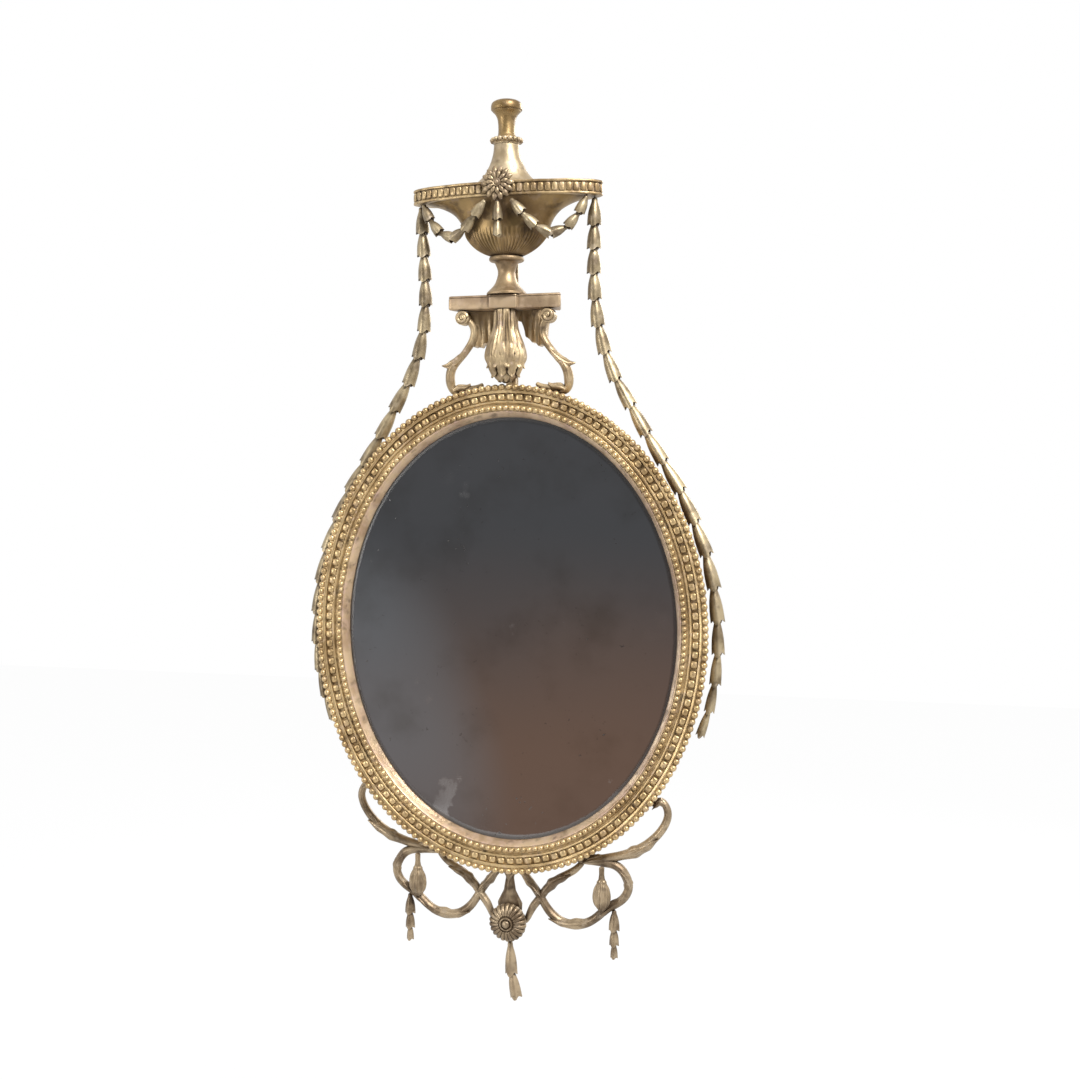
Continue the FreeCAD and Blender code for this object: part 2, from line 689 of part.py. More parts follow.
def smooth_run(points, radii, stations):
    """Round member of changing thickness along a smooth curve through (x, depth, z) points."""
    places = [Vector(x, -depth, z) for x, depth, z in points]
    curve = Part.BSplineCurve()
    curve.interpolate(places)
    knots = [curve.parameter(place) for place in places]
    wires = []
    for station in range(stations + 1):
        parameter = knots[0] + (knots[-1] - knots[0]) * station / stations
        index = max(0, min(len(knots) - 2, sum(1 for knot in knots if knot <= parameter) - 1))
        share = (parameter - knots[index]) / (knots[index + 1] - knots[index])
        share = share * share * (3 - 2 * share)
        radius = radii[index] + (radii[index + 1] - radii[index]) * share
        tangent = curve.tangent(parameter)[0]
        side = tangent.cross(Vector(0, 1, 0))
        side.normalize()
        wire = Part.Wire(Part.makeCircle(radius))
        wire.Placement = frame_axes(side, tangent, curve.value(parameter))
        wires.append(wire)
    return Part.makeLoft(wires, True, False)


def mirrored(shape):
    """The same piece on the other side of the middle plane."""
    return shape.mirror(Vector(0, 0, 0), Vector(1, 0, 0))


# Console legs: scrolled brackets from the plinth's ends down to the frame
plinth_base = value_of(PLINTH_BASE)
half_console = float(sheet.console_half_width)
volute_centre = Vector(half_console * 0.93, 0, plinth_base - sheet.volute_radius - sheet.seat_gap)
volute_front = sheet.wall_gap + sheet.plinth_depth - 1
volute_back = volute_front - sheet.volute_depth
volute = Part.makeCylinder(sheet.volute_radius, sheet.volute_depth,
                           volute_centre + Vector(0, -volute_back, 0), Vector(0, -1, 0))
leg_depth = value_of(BOARD_FRONT) + 1.15 * sheet.leg_radius + sheet.seat_gap
foot_offset = back_side + sheet.leg_radius + sheet.seat_gap
foot_depth = edge_level - sheet.undercut_height - sheet.leg_radius - sheet.seat_gap
foot_point = oval_point(math.radians(75.6), foot_offset)[0]
leg_span = volute_centre.z - foot_point.z
leg_points = [
    (half_console * 0.88, volute_back + 4, volute_centre.z),
    (half_console * 0.76, (volute_back + leg_depth) / 2, foot_point.z + leg_span * 0.89),
    (half_console * 0.76, leg_depth, foot_point.z + leg_span * 0.76),
    (half_console * 0.88, leg_depth, foot_point.z + leg_span * 0.62),
    (half_console * 1.03, leg_depth, foot_point.z + leg_span * 0.5),
    (half_console * 1.25, leg_depth, foot_point.z + leg_span * 0.33),
    (half_console * 1.3, (leg_depth + foot_depth) / 2, foot_point.z + leg_span * 0.18),
    (half_console * 1.24, foot_depth, foot_point.z + leg_span * 0.05),
    (foot_point.x, foot_depth, foot_point.z),
]
LEG_STATIONS = 24
leg_radii = [sheet.leg_radius * share for share in (1.0, 1.0, 1.05, 0.95, 1.0, 1.3, 1.2, 1.0, 0.95)]
leg = smooth_run(leg_points, leg_radii, LEG_STATIONS)
leg_foot = Part.makeSphere(sheet.leg_radius, foot_point + Vector(0, -foot_depth, 0), Vector(0, 1, 0))
leg = leg.fuse([volute, leg_foot]).removeSplitter()
feature("console_leg_right", leg)
feature("console_leg_left", mirrored(leg))

# Acanthus bud: turned and fluted, planted on the board, its tip on the frame
BUD_LENGTH = "(console_height - seat_gap)"
bud, bud_planes = turned("acanthus_bud", [
    ("0", "0"),
    ("bud_tip_radius", "bud_tip_radius * 0.5", -0.12),
    ("bud_radius", f"{BUD_LENGTH} * 0.36", -0.2),
    ("bud_radius * 0.8", f"{BUD_LENGTH} * 0.58", 0.12),
    ("bud_neck_radius", f"{BUD_LENGTH} * 0.8"),
    ("bud_neck_radius", BUD_LENGTH),
    ("0", BUD_LENGTH),
], "-bud_axis_depth", f"{FRAME_TOP} + seat_gap")
sketch = new_sketch(bud, bud_planes["XY_Plane"], "bud_flute", f"{BUD_LENGTH} * 0.12")
draw_circle(sketch, "bud_flute_radius", "bud_radius + bud_flute_radius * 0.55", "0")
flute = pocket(bud, sketch, "bud_flute_cut", f"{BUD_LENGTH} * 0.4", forward=True)
flutes = bud.newObject("PartDesign::PolarPattern", "bud_flutes")
flutes.Originals = [flute]
flutes.Axis = (bud.Origin.OriginFeatures[2], [""])
flutes.Angle = 360
flutes.Occurrences = 10
bud.Tip = flutes
document.recompute()
sketch = new_sketch(bud, bud_planes["XZ_Plane"], "bud_back", f"{BOARD_FRONT} + seat_gap - bud_axis_depth")
draw_outline(sketch, [("-bud_radius * 2", "-bud_radius"), ("bud_radius * 2", "-bud_radius"),
                      ("bud_radius * 2", "console_height + bud_radius"),
                      ("-bud_radius * 2", "console_height + bud_radius")])
pocket(bud, sketch, "bud_planing")

# Plinth: a block whose middle breaks forward, with a mortise for the urn's spigot
body, planes = new_body("plinth")
sketch = new_sketch(body, planes["XY_Plane"], "plinth_plan", PLINTH_BASE)
FRONT = "-(wall_gap + plinth_depth)"
draw_outline(sketch, [
    ("-plinth_back_half_width", "-wall_gap"),
    ("-plinth_half_width", FRONT),
    ("-plinth_break_half_width", FRONT),
    ("-plinth_break_half_width", f"{FRONT} - plinth_break"),
    ("plinth_break_half_width", f"{FRONT} - plinth_break"),
    ("plinth_break_half_width", FRONT),
    ("plinth_half_width", FRONT),
    ("plinth_back_half_width", "-wall_gap"),
])
pad(body, sketch, "plinth_block", "plinth_height")
sketch = new_sketch(body, planes["XY_Plane"], "plinth_mortise", FOOT_BASE)
draw_circle(sketch, "spigot_radius + spigot_clearance", "0", "-urn_axis_depth")
pocket(body, sketch, "plinth_mortise_cut", "spigot_length + spigot_clearance")
strap_screw_hole(body, planes, "plinth")

# Urn foot: turned foot, stem and collar with a spigot below
turned("urn_foot", [
    ("0", "-spigot_length"),
    ("spigot_radius", "-spigot_length"),
    ("spigot_radius", "0"),
    ("foot_radius", "0"),
    ("foot_radius", "foot_height * 0.05", 0.2),
    ("stem_radius", "foot_height * 0.42"),
    ("stem_radius", "foot_height * 0.66", 0.1),
    ("collar_radius * 0.72", "foot_height * 0.86"),
    ("collar_radius * 0.95", "foot_height * 0.86", -0.35),
    ("collar_radius * 0.95", "foot_height"),
    ("0", "foot_height"),
], "-urn_axis_depth", FOOT_BASE)

# Urn body, bowl and lid: carved oval forms
BODY_SWELL = ((0.0, 0.0), (0.2, 0.42), (0.5, 0.76), (0.8, 0.95), (1.0, 1.0))
oval_loft("urn_body", BODY_BASE, [
    (f"body_height * {rise}",
     f"body_foot_radius + (body_half_width - body_foot_radius) * {swell}",
     f"body_foot_radius + (body_half_depth - body_foot_radius) * {swell}")
    for rise, swell in BODY_SWELL
])
BOWL_FLARE = ((0.0, 0.0), (0.3, 0.1), (0.6, 0.29), (0.85, 0.64), (1.0, 1.0))
body, planes = oval_loft("urn_bowl", BOWL_BASE, [
    (f"bowl_height * {rise}",
     f"body_half_width + (bowl_half_width - body_half_width) * {flare}",
     f"body_half_depth + (bowl_half_depth - body_half_depth) * {flare}")
    for rise, flare in BOWL_FLARE
])
strap_screw_hole(body, planes, "urn_bowl")
LID_SWEEP = ((0.0, 1.0), (0.06, 0.78), (0.21, 0.46), (0.48, 0.2), (0.8, 0.03), (1.0, 0.0))
body, planes = oval_loft("urn_lid", LID_BASE, [
    (f"lid_height * {rise}",
     f"lid_top_radius + (lid_half_width - lid_top_radius) * {sweep}",
     f"lid_top_radius * 0.98 + (lid_half_depth - lid_top_radius) * {sweep}")
    for rise, sweep in LID_SWEEP
])
sketch = new_sketch(body, planes["XY_Plane"], "lid_mortise", BEAD_RING_BASE)
draw_circle(sketch, "spigot_radius + spigot_clearance", "0", "-urn_axis_depth")
pocket(body, sketch, "lid_mortise_cut", "spigot_length + spigot_clearance")

# Urn rim: a core between two oval fillets
body, planes = new_body("urn_rim")
for index, (base, height, inset) in enumerate((
        ("0", "rim_fillet_height", "0"),
        ("rim_fillet_height", "rim_height - 2 * rim_fillet_height", "rim_cove"),
        ("rim_height - rim_fillet_height", "rim_fillet_height", "0"))):
    sketch = new_sketch(body, planes["XY_Plane"], f"rim_plan_{index}", f"{RIM_BASE} + {base}")
    bind(sketch, "AttachmentOffset.Base.y", "-urn_axis_depth")
    draw_ellipse(sketch, f"rim_half_width - {inset}", f"rim_half_depth - {inset}")
    pad(body, sketch, f"rim_course_{index}", height)
flatten_back(body, planes, CREST_REACH)

# Rim blocks: upright pegs between the rim's fillets, round the front and the ends
rim_a = sheet.rim_half_width - sheet.rim_cove / 2
rim_b = sheet.rim_half_depth - sheet.rim_cove / 2
RIM_STEPS = 2000
rim_angles = [math.pi * (1 + step / RIM_STEPS) for step in range(RIM_STEPS + 1)]
rim_lengths = [0.0]
for step in range(RIM_STEPS):
    rim_lengths.append(rim_lengths[-1] + math.hypot(
        rim_a * (math.cos(rim_angles[step + 1]) - math.cos(rim_angles[step])),
        rim_b * (math.sin(rim_angles[step + 1]) - math.sin(rim_angles[step]))))
rim_block_count = round(rim_lengths[-1] / sheet.rim_block_pitch)
rim_block_base = value_of(RIM_BASE) + sheet.rim_fillet_height
rim_blocks = []
for index in range(rim_block_count + 1):
    wanted = rim_lengths[-1] * index / rim_block_count
    step = min(range(RIM_STEPS + 1), key=lambda number: abs(rim_lengths[number] - wanted))
    x = rim_a * math.cos(rim_angles[step])
    y = rim_b * math.sin(rim_angles[step]) - sheet.urn_axis_depth
    rim_blocks.append(Part.makeCylinder(
        sheet.rim_block_radius, sheet.rim_height - 2 * sheet.rim_fillet_height, Vector(x, y, rim_block_base)))
feature("rim_blocks", Part.makeCompound(rim_blocks))

# Bead ring: turned ring with beads carved round it, bored for the knob's spigot
BORE = "(spigot_radius + spigot_clearance)"
ring_body, ring_planes = turned("bead_ring", [
    (BORE, "0"),
    ("lid_top_radius", "0"),
    ("lid_top_radius", "bead_ring_height * 0.3"),
    ("bead_ring_radius", "bead_ring_height * 0.3"),
    ("bead_ring_radius", "bead_ring_height"),
    (BORE, "bead_ring_height"),
], "-urn_axis_depth", BEAD_RING_BASE)
bead_ball = ring_body.newObject("PartDesign::AdditiveSphere", "bead_ring_bead")
bind(bead_ball, "Radius", "bead_ring_bead_radius")
bead_ball.AttachmentSupport = [(ring_planes["XY_Plane"], "")]
bead_ball.MapMode = "FlatFace"
bind(bead_ball, "AttachmentOffset.Base.x", "bead_ring_radius")
bind(bead_ball, "AttachmentOffset.Base.z", "bead_ring_height * 0.65")
document.recompute()
balls = ring_body.newObject("PartDesign::PolarPattern", "bead_ring_beads")
balls.Originals = [bead_ball]
balls.Axis = (ring_body.Origin.OriginFeatures[2], [""])
balls.Angle = 360
bind(balls, "Occurrences", "floor(3.14159 * bead_ring_radius / bead_ring_bead_radius)")
ring_body.Tip = balls
document.recompute()

# Finial knob: turned, its spigot passing through the bead ring into the lid
turned("finial_knob", [
    ("0", "-(bead_ring_height + spigot_length)"),
    ("spigot_radius", "-(bead_ring_height + spigot_length)"),
    ("spigot_radius", "0"),
    ("knob_foot_radius", "0"),
    ("knob_foot_radius", "knob_height * 0.03", 0.1),
    ("knob_neck_radius", "knob_height * 0.12"),
    ("knob_neck_radius", "knob_height * 0.2", 0.1),
    ("knob_radius * 0.93", "knob_height * 0.65", -0.1),
    ("knob_radius", "knob_height * 0.77", -0.25),
    ("knob_radius * 0.7", "knob_height * 0.95", -0.06),
    ("knob_radius * 0.3", "knob_height"),
    ("0", "knob_height"),
], "-urn_axis_depth", KNOB_BASE)

# Rosettes: turned discs with petals parted by grooves, facing forward
FACING = FreeCAD.Rotation(Vector(1, 0, 0), 90)


def rosette(label, radius, thickness, petals, y, z):
    """Domed disc with an eye and a ring of petals parted by notches in its edge."""
    body, planes = turned(label, [
        ("0", "0"),
        (f"{radius} * 0.92", "0"),
        (radius, f"{thickness} * 0.35", -0.15),
        (f"{radius} * 0.72", f"{thickness} * 0.78", -0.1),
        (f"{radius} * 0.3", f"{thickness} * 0.42"),
        (f"{radius} * 0.3", f"{thickness} * 0.7", -0.25),
        (f"{radius} * 0.08", thickness),
        ("0", thickness),
    ], y, z, FACING)
    sketch = new_sketch(body, planes["XY_Plane"], label + "_notch", f"{thickness} * 0.2")
    draw_outline(sketch, [(f"{radius} * 0.5", "0"),
                          (f"{radius} * 1.1", f"-{radius} * {1.6 / petals:.4f}"),
                          (f"{radius} * 1.1", f"{radius} * {1.6 / petals:.4f}")])
    notch = pocket(body, sketch, label + "_notch_cut", forward=True)
    notches = body.newObject("PartDesign::PolarPattern", label + "_notches")
    notches.Originals = [notch]
    notches.Axis = (body.Origin.OriginFeatures[2], [""])
    notches.Angle = 360
    notches.Occurrences = petals
    body.Tip = notches
    document.recompute()


ROSETTE_BACK = "(urn_axis_depth + rim_half_depth + seat_gap)"
ROSETTE_HEIGHT = f"({RIM_BASE} + rim_height / 2 + rosette_lift)"
rosette("crest_rosette", "rosette_radius", "rosette_thickness", 16, f"-{ROSETTE_BACK}", ROSETTE_HEIGHT)


# Husks: bellflowers threaded on wire, each with its neck in the hollow mouth of the one above
HUSK_LAP = 0.22
HUSK_HOLLOW = 0.7


def husk(length, mouth_radius):
    """One husk hanging along +Z from its top: a flaring bell, bored for the wire, with a hollow
    mouth and a notch across it."""
    bore = sheet.wire_radius + sheet.wire_clearance
    neck = max(0.3 * mouth_radius, bore + 0.8)
    flare = Part.BSplineCurve()
    flare.interpolate([
        Vector(neck, 0, 0.14 * length),
        Vector(0.68 * mouth_radius, 0, 0.42 * length),
        Vector(0.97 * mouth_radius, 0, 0.78 * length),
        Vector(0.95 * mouth_radius, 0, length),
    ])
    outline = [
        Part.makeLine(Vector(bore, 0, 0), Vector(neck * 1.1, 0, 0)),
        Part.makeLine(Vector(neck * 1.1, 0, 0), Vector(neck, 0, 0.14 * length)),
        flare.toShape(),
        Part.makeLine(Vector(0.95 * mouth_radius, 0, length), Vector(0.84 * mouth_radius, 0, length)),
        Part.makeLine(Vector(0.84 * mouth_radius, 0, length),
                      Vector(0.5 * mouth_radius, 0, HUSK_HOLLOW * length)),
        Part.makeLine(Vector(0.5 * mouth_radius, 0, HUSK_HOLLOW * length),
                      Vector(bore, 0, HUSK_HOLLOW * length)),
        Part.makeLine(Vector(bore, 0, HUSK_HOLLOW * length), Vector(bore, 0, 0)),
    ]
    bell = Part.Face(Part.Wire(outline)).revolve(Vector(0, 0, 0), Vector(0, 0, 1), 360)
    reach = 1.2 * mouth_radius
    notch = Part.Face(Part.makePolygon([
        Vector(0, -reach, 0.74 * length),
        Vector(0.42 * mouth_radius, -reach, 1.01 * length),
        Vector(-0.42 * mouth_radius, -reach, 1.01 * length),
        Vector(0, -reach, 0.74 * length),
    ])).extrude(Vector(0, 2 * reach, 0))
    return bell.cut(notch)


def rounded_wire(points):
    """Iron wire through the points, straight between them with a small bend at each."""
    edges = []
    bend = 3 * sheet.wire_radius
    start = points[0]
    for before, here, after in zip(points, points[1:], points[2:]):
        inward = (here - before).normalize()
        onward = (after - here).normalize()
        turn = inward.getAngle(onward)
        if turn < 1e-4:
            continue
        run = bend * math.tan(turn / 2)
        bisector = (onward - inward).normalize()
        middle = here + bisector * (bend / math.cos(turn / 2) - bend)
        edges.append(Part.makeLine(start, here - inward * run))
        edges.append(Part.Arc(here - inward * run, middle, here + onward * run).toShape())
        start = here + onward * run
    edges.append(Part.makeLine(start, points[-1]))
    path = Part.Wire(edges)
    first = (points[1] - points[0]).normalize()
    section = Part.Wire(Part.makeCircle(sheet.wire_radius, points[0], first))
    return path.makePipeShell([section], True, False)


def husk_string(points, widths, top, lap=HUSK_LAP):
    """Husks whose tops are the points in turn, each as long as its gap and lap, and their wire."""
    husks = []
    for index, width in enumerate(widths):
        here = points[index]
        along = points[index + 1] - here
        length = along.Length / (1 - lap)
        down = along.normalize()
        across = down.cross(Vector(0, 1, 0))
        across.normalize()
        shape = husk(length, width / 2)
        shape.Placement = frame_axes(across, down, here)
        husks.append(shape)
    return husks, rounded_wire([top, *points])


def spaced(curve, gaps):
    """Points along a curve whose gaps are in proportion to the given ones."""
    total = curve.length()
    scale = total / sum(gaps)
    points = [curve.value(curve.parameterAtDistance(0))]
    distance = 0.0
    for gap in gaps:
        distance += gap * scale
        points.append(curve.value(curve.parameterAtDistance(min(distance, total * 0.9999))))
    return points


def smooth_curve(points):
    """Smooth curve through (x, depth, z) points."""
    curve = Part.BSplineCurve()
    curve.interpolate([Vector(x, -depth, z) for x, depth, z in points])
    return curve


# Husk chains: hang from the rim's ends, swing out beside the console and follow the frame's side
HUSKS_IN_CHAIN = 19
rim_base = value_of(RIM_BASE)
chain_top_x = sheet.rim_half_width - sheet.chain_inset
chain_clear = back_side + sheet.husk_width / 2 + 2 * sheet.seat_gap
chain_waist = value_of(PLINTH_BASE)
half_way = (chain_waist + SIGHT_B) / 2
chain_points = [
    (chain_top_x, sheet.chain_top_depth, rim_base - 2),
    (chain_top_x - 2, sheet.chain_top_depth - 4, (rim_base + chain_waist) / 2),
    (chain_top_x + 1, sheet.chain_depth + 3, chain_waist - 15),
]
for angle, extra in ((62.0, 38), (55.5, 21.5), (48.2, 8.5), (40.9, 3.5), (32.9, 2), (24.5, 1.5), (17.3, 3),
                     (9.3, 3.4), (0.7, 4.6), (-7.4, 5.6), (-13.2, 6), (-18, 5.6), (-22, 4.5)):
    point = oval_point(math.radians(angle), chain_clear + extra)[0]
    chain_points.append((point.x, sheet.chain_depth, point.z))
chain_gaps = [
    0.72 + 0.42 * math.sin(math.pi * (0.06 + 0.86 * index / (HUSKS_IN_CHAIN - 1)) ** 1.5)
    for index in range(HUSKS_IN_CHAIN)
]
chain_stops = spaced(smooth_curve(chain_points), chain_gaps)
chain_widths = [
    sheet.husk_width * min(1.0, 0.55 + 0.45 * (HUSKS_IN_CHAIN - index) / 5)
    for index in range(HUSKS_IN_CHAIN)
]
chain_hook = Vector(chain_stops[0].x, chain_stops[0].y, rim_base - 0.05)
chain, chain_wire = husk_string(chain_stops, chain_widths, chain_hook)
feature("husk_chain_right", Part.makeCompound(chain))
feature("husk_chain_left", mirrored(Part.makeCompound(chain)))
feature("chain_wire_right", chain_wire)
feature("chain_wire_left", mirrored(chain_wire))

# Festoons: small husks from the rosette down and up to the rim's ends
HUSKS_IN_FESTOON = 6
FESTOON_LAP = 0.02
rosette_height = value_of(ROSETTE_HEIGHT)
rim_front = value_of(ROSETTE_BACK)
festoon_low = value_of(BOWL_BASE)
body_side = float(sheet.body_half_width)
rim_side = float(sheet.rim_half_width)
festoon_points = [
    (sheet.rosette_radius * 0.95, rim_front + 2, rosette_height - sheet.rosette_radius * 1.27),
    (body_side * 0.74, rim_front - 4, festoon_low + 3),
    (body_side * 1.15, sheet.urn_axis_depth + 22, festoon_low - 10.5),
    (rim_side * 0.69, sheet.urn_axis_depth + 16, festoon_low),
    (rim_side * 0.86, sheet.urn_axis_depth + 13, rim_base - 1.5),
]
festoon_stops = spaced(smooth_curve(festoon_points), [1.0] * HUSKS_IN_FESTOON)
festoon_stops.reverse()
festoon_hook = Vector(festoon_stops[0].x, festoon_stops[0].y, rim_base - 0.05)
festoon, festoon_wire = husk_string(
    festoon_stops, [float(sheet.festoon_husk_width)] * HUSKS_IN_FESTOON, festoon_hook, FESTOON_LAP)
feature("festoon_right", Part.makeCompound(festoon))
feature("festoon_left", mirrored(Part.makeCompound(festoon)))
feature("festoon_wires", Part.makeCompound([festoon_wire, mirrored(festoon_wire)]))

# Rosette drop: husks below the crest rosette
drop_top = Vector(0, -(rim_front + 3), rosette_height - sheet.rosette_radius - 1)
rosette_drop, rosette_wire = husk_string(
    [drop_top - Vector(0, 0, sheet.rosette_husk_pitch * step) for step in range(3)],
    [float(sheet.rosette_husk_width), sheet.rosette_husk_width * 0.85],
    drop_top + Vector(0, 0, 0.9))
feature("rosette_drop", Part.makeCompound(rosette_drop))

# Base scrolls: thin carved branches under the frame, crossing beside the patera
scroll_radius = float(sheet.scroll_radius)
scroll_clear = back_side + scroll_radius + sheet.seat_gap
stem_top = -(SIGHT_B + back_side + sheet.seat_gap)
patera_height = stem_top - sheet.base_reach


def beside(angle, offset):
    """Point of the base plane at an angle and an offset from where a scroll would touch the frame."""
    point = oval_point(math.radians(angle), scroll_clear + offset)[0]
    return (point.x, float(sheet.scroll_depth), point.z)


def on_base(x, drop):
    """Point of the base plane at a distance across and below the stem's top."""
    return (x, float(sheet.scroll_depth), stem_top - drop)


branch = smooth_run(
    [beside(-44.2, 0.2), beside(-41.8, 5.5), beside(-42.2, 18.5), beside(-44.2, 27.5), beside(-47.2, 31.0),
     beside(-52.3, 30.0), beside(-56.3, 26.0), beside(-60.0, 19.0), beside(-63.8, 11.5), beside(-68.0, 0)],
    [scroll_radius * share for share in (1.0, 0.75, 0.8, 0.85, 0.9, 0.95, 1.05, 1.0, 0.9, 1.0)], 30)
loop = smooth_run(
    [beside(-70.0, 0), beside(-66.4, 9.1), beside(-63.2, 19.0), beside(-60.8, 30.0), beside(-60.0, 48.5),
     beside(-60.8, 62.8), beside(-63.4, 71.6), beside(-66.8, 73.0), beside(-70.3, 79.8), beside(-74.5, 81.5),
     beside(-78.0, 73.0), beside(-80.5, 56.0), beside(-82.0, 37.8), beside(-83.9, 20.0), beside(-86.8, 0)],
    [scroll_radius * share for share in
     (1.0, 0.9, 0.95, 1.0, 1.0, 0.95, 0.95, 0.95, 0.95, 1.0, 1.0, 0.95, 0.9, 0.9, 1.0)], 48)
tendril = smooth_run(
    [on_base(20, 76), on_base(24.5, 68), beside(-84.3, 50.5), beside(-82.0, 37.8),
     beside(-79.7, 26.1), beside(-75.6, 16.6), beside(-71.5, 12.1), beside(-68.5, 6.0)],
    [scroll_radius * share for share in (0.62, 0.75, 0.9, 0.9, 0.9, 0.85, 0.8, 0.75)], 24)
base_scroll = branch.fuse([loop, tendril]).removeSplitter()
feature("base_scroll_right", base_scroll)
feature("base_scroll_left", mirrored(base_scroll))

# Base buds: turned buds planted on the front of the scroll's loop
bud_seat = beside(-66.4, 51.0)
bud_foot_height = bud_seat[2] - sheet.base_bud_length / 2
bud_bodies = []
for side, across in (("left", -bud_seat[0]), ("right", bud_seat[0])):
    bud_body = turned(f"base_bud_{side}", [
        ("0", "0"),
        ("base_bud_tip_radius", "0", -0.1),
        ("base_bud_radius", "base_bud_length * 0.42", -0.14),
        ("base_bud_radius * 0.45", "base_bud_length * 0.82"),
        ("base_bud_tip_radius", "base_bud_length"),
        ("0", "base_bud_length"),
    ], "-(scroll_depth + scroll_radius + 2 * base_bud_radius)", str(bud_foot_height), x=str(across))[0]
    bud_bodies.append(bud_body)
document.recompute()
bud_depth = sheet.scroll_depth + scroll_radius + 2 * sheet.base_bud_radius
bud_shape = bud_bodies[1].Shape.copy()
for attempt in range(40):
    gap = bud_shape.distToShape(base_scroll)[0]
    if gap <= 1.2 * sheet.seat_gap:
        break
    bud_shape.translate(Vector(0, gap - sheet.seat_gap, 0))
    bud_depth -= gap - sheet.seat_gap
for bud_body in bud_bodies:
    bind(bud_body, "Placement.Base.y", f"-{bud_depth}")

# Base drops: three small husks under each loop
BASE_HUSKS = (22.0, 20.0, 17.0)
BASE_HUSK_SHARES = (0.95, 0.85, 0.65)
drop_seat = beside(-65.3, 72.6)
drop_top = Vector(drop_seat[0], -drop_seat[1], drop_seat[2] - scroll_radius - 2)
drop_points = [drop_top]
for length in BASE_HUSKS:
    drop_points.append(drop_points[-1] - Vector(0, 0, length))
base_drop, base_drop_wire = husk_string(
    drop_points, [sheet.drop_husk_width * share for share in BASE_HUSK_SHARES],
    drop_top + Vector(0, 0, 2 - 3 * sheet.seat_gap))
feature("base_drop_right", Part.makeCompound(base_drop))
feature("base_drop_left", mirrored(Part.makeCompound(base_drop)))

# Patera stem: the flat tongue that carries the patera, its head glued to the frame's side
STEM_TOP = f"(-(sight_half_height + {BACK_SIDE} + seat_gap))"
PATERA_HEIGHT = f"({STEM_TOP} - base_reach)"
STEM_FOOT_LEVEL = f"({PATERA_HEIGHT} - patera_radius)"
body, planes = new_body("patera_stem")
sketch = new_sketch(body, planes["XZ_Plane"], "stem_outline", "scroll_depth - stem_thickness / 2")
draw_outline(sketch, [
    ("-stem_top_half_width", STEM_TOP),
    ("-stem_half_width", PATERA_HEIGHT),
    ("-stem_half_width", f"{PATERA_HEIGHT} - patera_radius * 0.6"),
    ("-stem_half_width * 0.4", STEM_FOOT_LEVEL),
    ("stem_half_width * 0.4", STEM_FOOT_LEVEL),
    ("stem_half_width", f"{PATERA_HEIGHT} - patera_radius * 0.6"),
    ("stem_half_width", PATERA_HEIGHT),
    ("stem_top_half_width", STEM_TOP),
])
pad(body, sketch, "stem_tongue", "stem_thickness")

# Patera: a deep daisy planted on the stem
STEM_FRONT = "(scroll_depth + stem_thickness / 2 + seat_gap)"
rosette("patera", "patera_radius", "patera_thickness", 22, f"-{STEM_FRONT}", PATERA_HEIGHT)

# Centre drop: husks below the patera, hanging a little crooked
CENTRE_HUSKS = ((1.5, 36.0), (6.0, 32.0))
CENTRE_HUSK_SHARES = (1.1, 1.05)
centre_top = Vector(0, -sheet.scroll_depth, value_of(STEM_FOOT_LEVEL) - 2)
centre_points = [centre_top]
for lean, length in CENTRE_HUSKS:
    centre_points.append(centre_points[-1] + Vector(lean, 0, -length))
centre_drop, centre_wire = husk_string(
    centre_points, [sheet.drop_husk_width * share for share in CENTRE_HUSK_SHARES],
    centre_top + Vector(0, 0, 2 - sheet.seat_gap))
feature("centre_drop", Part.makeCompound(centre_drop))
feature("drop_wires", Part.makeCompound([base_drop_wire, mirrored(base_drop_wire), centre_wire, rosette_wire]))

# Checks and files
document.recompute()
os.makedirs("parts", exist_ok=True)
for item in document.Objects:
    if "Invalid" in item.State or "Error" in item.State:
        raise ValueError(f"{item.Label} failed: {item.State}")
pieces = [
    item for item in document.Objects
    if item.TypeId == "PartDesign::Body" or item.TypeId == "Part::Feature"
]
for piece in pieces:
    if piece.Shape.isNull() or not piece.Shape.isValid():
        raise ValueError(f"{piece.Label} has no valid shape")
for piece in pieces:
    piece.Shape.exportStep(f"parts/{piece.Label}.step")
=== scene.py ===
import bpy
import numpy as np
from mathutils import Matrix, Vector


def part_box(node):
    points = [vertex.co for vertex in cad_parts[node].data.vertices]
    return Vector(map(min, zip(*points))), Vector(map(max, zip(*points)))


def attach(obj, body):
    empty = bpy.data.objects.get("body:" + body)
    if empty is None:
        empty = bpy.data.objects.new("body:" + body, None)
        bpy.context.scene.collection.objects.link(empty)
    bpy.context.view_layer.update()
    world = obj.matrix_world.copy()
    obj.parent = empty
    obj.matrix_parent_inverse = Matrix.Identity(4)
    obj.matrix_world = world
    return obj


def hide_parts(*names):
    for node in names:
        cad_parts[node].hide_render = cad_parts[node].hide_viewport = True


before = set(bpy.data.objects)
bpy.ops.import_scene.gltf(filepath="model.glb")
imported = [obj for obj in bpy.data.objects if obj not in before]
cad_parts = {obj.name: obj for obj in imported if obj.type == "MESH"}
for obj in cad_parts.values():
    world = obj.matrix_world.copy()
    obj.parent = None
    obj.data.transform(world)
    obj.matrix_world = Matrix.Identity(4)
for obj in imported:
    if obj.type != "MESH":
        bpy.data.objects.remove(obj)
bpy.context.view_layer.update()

# Oval frame
# One moulded ring of softwood under gesso, red bole and water-gilt leaf.
# Its section is carried round the oval, as an oval lathe cuts it, and wear has softened every edge.
MILLIMETRE = 0.001
MOULDING_WIDTH = 43.0
SHARP_EDGE = np.radians(50)
RING_STEPS = 720


def box_of(node):
    """Low and high corner of a CAD node's box in millimetres."""
    return [np.array(corner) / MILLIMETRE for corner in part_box(node)]


